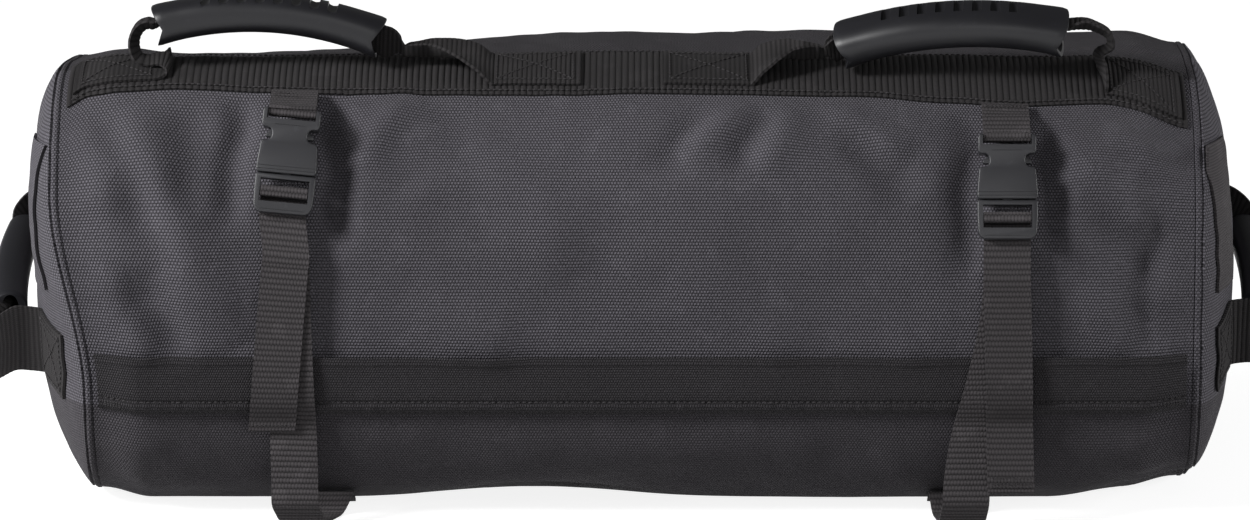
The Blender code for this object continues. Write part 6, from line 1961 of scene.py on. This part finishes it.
class SANDBAG_OT_fillers(bpy.types.Operator):
    """Stuff the inner sand bags, with their sand and the strips that close them"""
    bl_idname = "sandbag.fillers"
    bl_label = "Inner sand bags"

    def execute(self, context):
        for number in range(1, FILLER_COUNT + 1):
            pouch = self.pillow("filler_pouch_%d" % number, "filler_bag_%d" % number,
                                POUCH_INSET, POUCH_DENT, number)
            finish_piece(pouch, flap_cloth(), "bag", "bag_cloth", "filler_bag_%d" % number)
            sand = self.pillow("loose_sand_%d" % number, "sand_fill_%d" % number,
                               SAND_INSET, SAND_DENT, number + 5)
            finish_piece(sand, shared_look("loose_sand", make_sand), "bag", "sand",
                         "sand_fill_%d" % number)
            low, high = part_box("filler_closure_%d" % number)
            half, tall = (high.x - low.x) / 2, high.z - low.z
            cut, top = half - HOOK_CORNER, tall / 2
            outline = mirrored([(cut, -top), (half, HOOK_CORNER - top), (half, top - HOOK_CORNER),
                                (cut, top)])
            strip = plate("hook_strip_%d" % number, outline, high.y - low.y, HOOK_ROUNDING)
            strip.data.transform(Matrix.Translation((low + high) / 2))
            smooth(strip)
            finish_piece(strip, thread_look(), "bag", "webbing", "filler_closure_%d" % number)
        return {"FINISHED"}

    def pillow(self, name, node, inset, dent, seed):
        low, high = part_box(node)
        middle, half = (low + high) / 2, (high - low) / 2
        deselect_all()
        bpy.ops.mesh.primitive_cube_add(size=2.0)
        piece = bpy.context.object
        piece.name = piece.data.name = name
        edit_mesh(piece, lambda: bpy.ops.mesh.subdivide(number_cuts=PILLOW_CUTS))
        for vertex in piece.data.vertices:
            unit = vertex.co
            total = sum(abs(part) ** PILLOW_SQUARENESS for part in unit) ** (1 / PILLOW_SQUARENESS)
            pressed = dent * (0.5 + 0.5 * noise.noise(unit * 3.0 + Vector((seed * 7.0, 0.0, 0.0))))
            fine = noise.noise(unit * 9.0 + Vector((0.0, seed * 5.0, 0.0)))
            pressed += dent * 0.3 * abs(fine)
            vertex.co = middle + Vector((part / total * (size - inset - pressed)
                                         for part, size in zip(unit, half)))
        for corner in piece.data.uv_layers.active.data:
            corner.uv = corner.uv * PILLOW_CHART
        smooth(piece)
        return piece


class SANDBAG_OT_carried(bpy.types.Operator):
    """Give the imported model's own pieces that stay, the zip's metal parts, their material"""
    bl_idname = "sandbag.carried"
    bl_label = "Carried pieces"

    def execute(self, context):
        for node in frame["nodes"].values():
            if not node.hide_render:
                node.data.materials.clear()
                node.data.materials.append(shared_look("zip_metal", make_zip_metal))
        return {"FINISHED"}


# The studio: each lamp's name, place, size and power, and what the lamps and the camera look at
LAMPS = (("key_lamp", (-2.1, -1.35, 1.65), 0.7, 96.0), ("fill_lamp", (0.2, -2.4, 1.0), 1.2, 10.0),
         ("left_lamp", (-2.4, -0.4, 0.5), 0.8, 36.0), ("right_lamp", (2.4, -0.3, 0.6), 0.8, 34.0))
LAMP_AIM, CAMERA_AIM = (0.0, 0.0, 0.12), (-0.0052, SHIFT_Y, 0.1223)
FLOOR_SIZE, FLOOR_COLOUR = 40.0, (0.35, 0.35, 0.35, 1.0)
FLOOR_SEEN = 0.86                # the floor's own light where the camera or a shine sees it
WORLD_LIGHT, WORLD_SEEN = 0.10, 0.90     # strength of the world, and more where it is seen
WHITE = (1.0, 1.0, 1.0, 1.0)
VIEW_END = 100.0


class SANDBAG_OT_stage(bpy.types.Operator):
    """Set the floor, the lamps, the world and the camera"""
    bl_idname = "sandbag.stage"
    bl_label = "Stage"

    def execute(self, context):
        scene = context.scene
        stage = settings()[3]
        deselect_all()
        bpy.ops.mesh.primitive_plane_add(size=FLOOR_SIZE, location=(0.0, 0.0, 0.0))
        floor = context.object
        floor.name = "floor"
        made, nodes, shader = new_material("floor_white", roughness=0.9)
        shader.inputs["Base Color"].default_value = FLOOR_COLOUR
        path = nodes.add("ShaderNodeLightPath").outputs
        seen = nodes.math("MAXIMUM", path["Is Camera Ray"], path["Is Glossy Ray"])
        shader.inputs["Emission Color"].default_value = WHITE
        nodes.feed(shader.inputs["Emission Strength"], nodes.math("MULTIPLY", seen, FLOOR_SEEN))
        floor.data.materials.append(made)

        world = bpy.data.worlds.new("studio")
        scene.world = world
        world.use_nodes = True
        nodes = Nodes(world.node_tree)
        background = world.node_tree.nodes["Background"]
        path = nodes.add("ShaderNodeLightPath").outputs
        seen = nodes.math("MAXIMUM", path["Is Camera Ray"], path["Is Transmission Ray"])
        background.inputs["Color"].default_value = WHITE
        light = nodes.math("MULTIPLY_ADD", seen, WORLD_SEEN, WORLD_LIGHT)
        nodes.feed(background.inputs["Strength"], light)

        for name, place, size, power in LAMPS:
            data = bpy.data.lights.new(name, "AREA")
            data.size, data.energy = size, power
            lamp = bpy.data.objects.new(name, data)
            lamp.location = place
            aim = Vector(LAMP_AIM) - Vector(place)
            lamp.rotation_euler = aim.to_track_quat("-Z", "Y").to_euler()
            scene.collection.objects.link(lamp)

        data = bpy.data.cameras.new("photo_camera")
        camera = bpy.data.objects.new("photo_camera", data)
        scene.collection.objects.link(camera)
        back = Vector((0.0, -cos(stage.elevation), sin(stage.elevation)))
        camera.location = Vector(CAMERA_AIM) + back * stage.distance
        camera.rotation_euler = (-back).to_track_quat("-Z", "Y").to_euler()
        data.lens = data.sensor_width * stage.distance / stage.view_width
        data.clip_end = VIEW_END
        scene.camera = camera
        scene.view_settings.view_transform = "Standard"
        return {"FINISHED"}


OPERATORS = (SANDBAG_OT_body, SANDBAG_OT_ends, SANDBAG_OT_band, SANDBAG_OT_flap,
             SANDBAG_OT_stitching, SANDBAG_OT_top_grips, SANDBAG_OT_top_webbing,
             SANDBAG_OT_end_handles, SANDBAG_OT_end_bands, SANDBAG_OT_buckles,
             SANDBAG_OT_straps, SANDBAG_OT_zip, SANDBAG_OT_fillers, SANDBAG_OT_carried,
             SANDBAG_OT_stage)


class SANDBAG_PT_panel(bpy.types.Panel):
    """Sidebar panel that lists the sizes, the colours and the steps"""
    bl_idname = "SANDBAG_PT_panel"
    bl_label = "Sandbag trainer"
    bl_space_type = "VIEW_3D"
    bl_region_type = "UI"
    bl_category = "Sandbag"

    def draw(self, context):
        layout = self.layout
        for group in settings():
            for name in group.bl_rna.properties.keys():
                if name not in ("rna_type", "name"):
                    layout.prop(group, name)
        for operator in OPERATORS:
            layout.operator(operator.bl_idname)


GROUP_CLASSES = {"sandbag_cloth": SandbagCloth, "sandbag_webbing": SandbagWebbing,
                 "sandbag_hard": SandbagHard, "sandbag_stage": SandbagStage}


def register():
    for name, made in GROUP_CLASSES.items():
        bpy.utils.register_class(made)
        setattr(bpy.types.Scene, name, PointerProperty(type=made))
    for made in (*OPERATORS, SANDBAG_PT_panel):
        bpy.utils.register_class(made)


def unregister():
    for made in reversed((*OPERATORS, SANDBAG_PT_panel)):
        bpy.utils.unregister_class(made)
    for name, made in GROUP_CLASSES.items():
        delattr(bpy.types.Scene, name)
        bpy.utils.unregister_class(made)


def main():
    register()
    for operator in OPERATORS:
        category, name = operator.bl_idname.split(".")
        getattr(getattr(bpy.ops, category), name)()


if __name__ == "__main__":
    main()
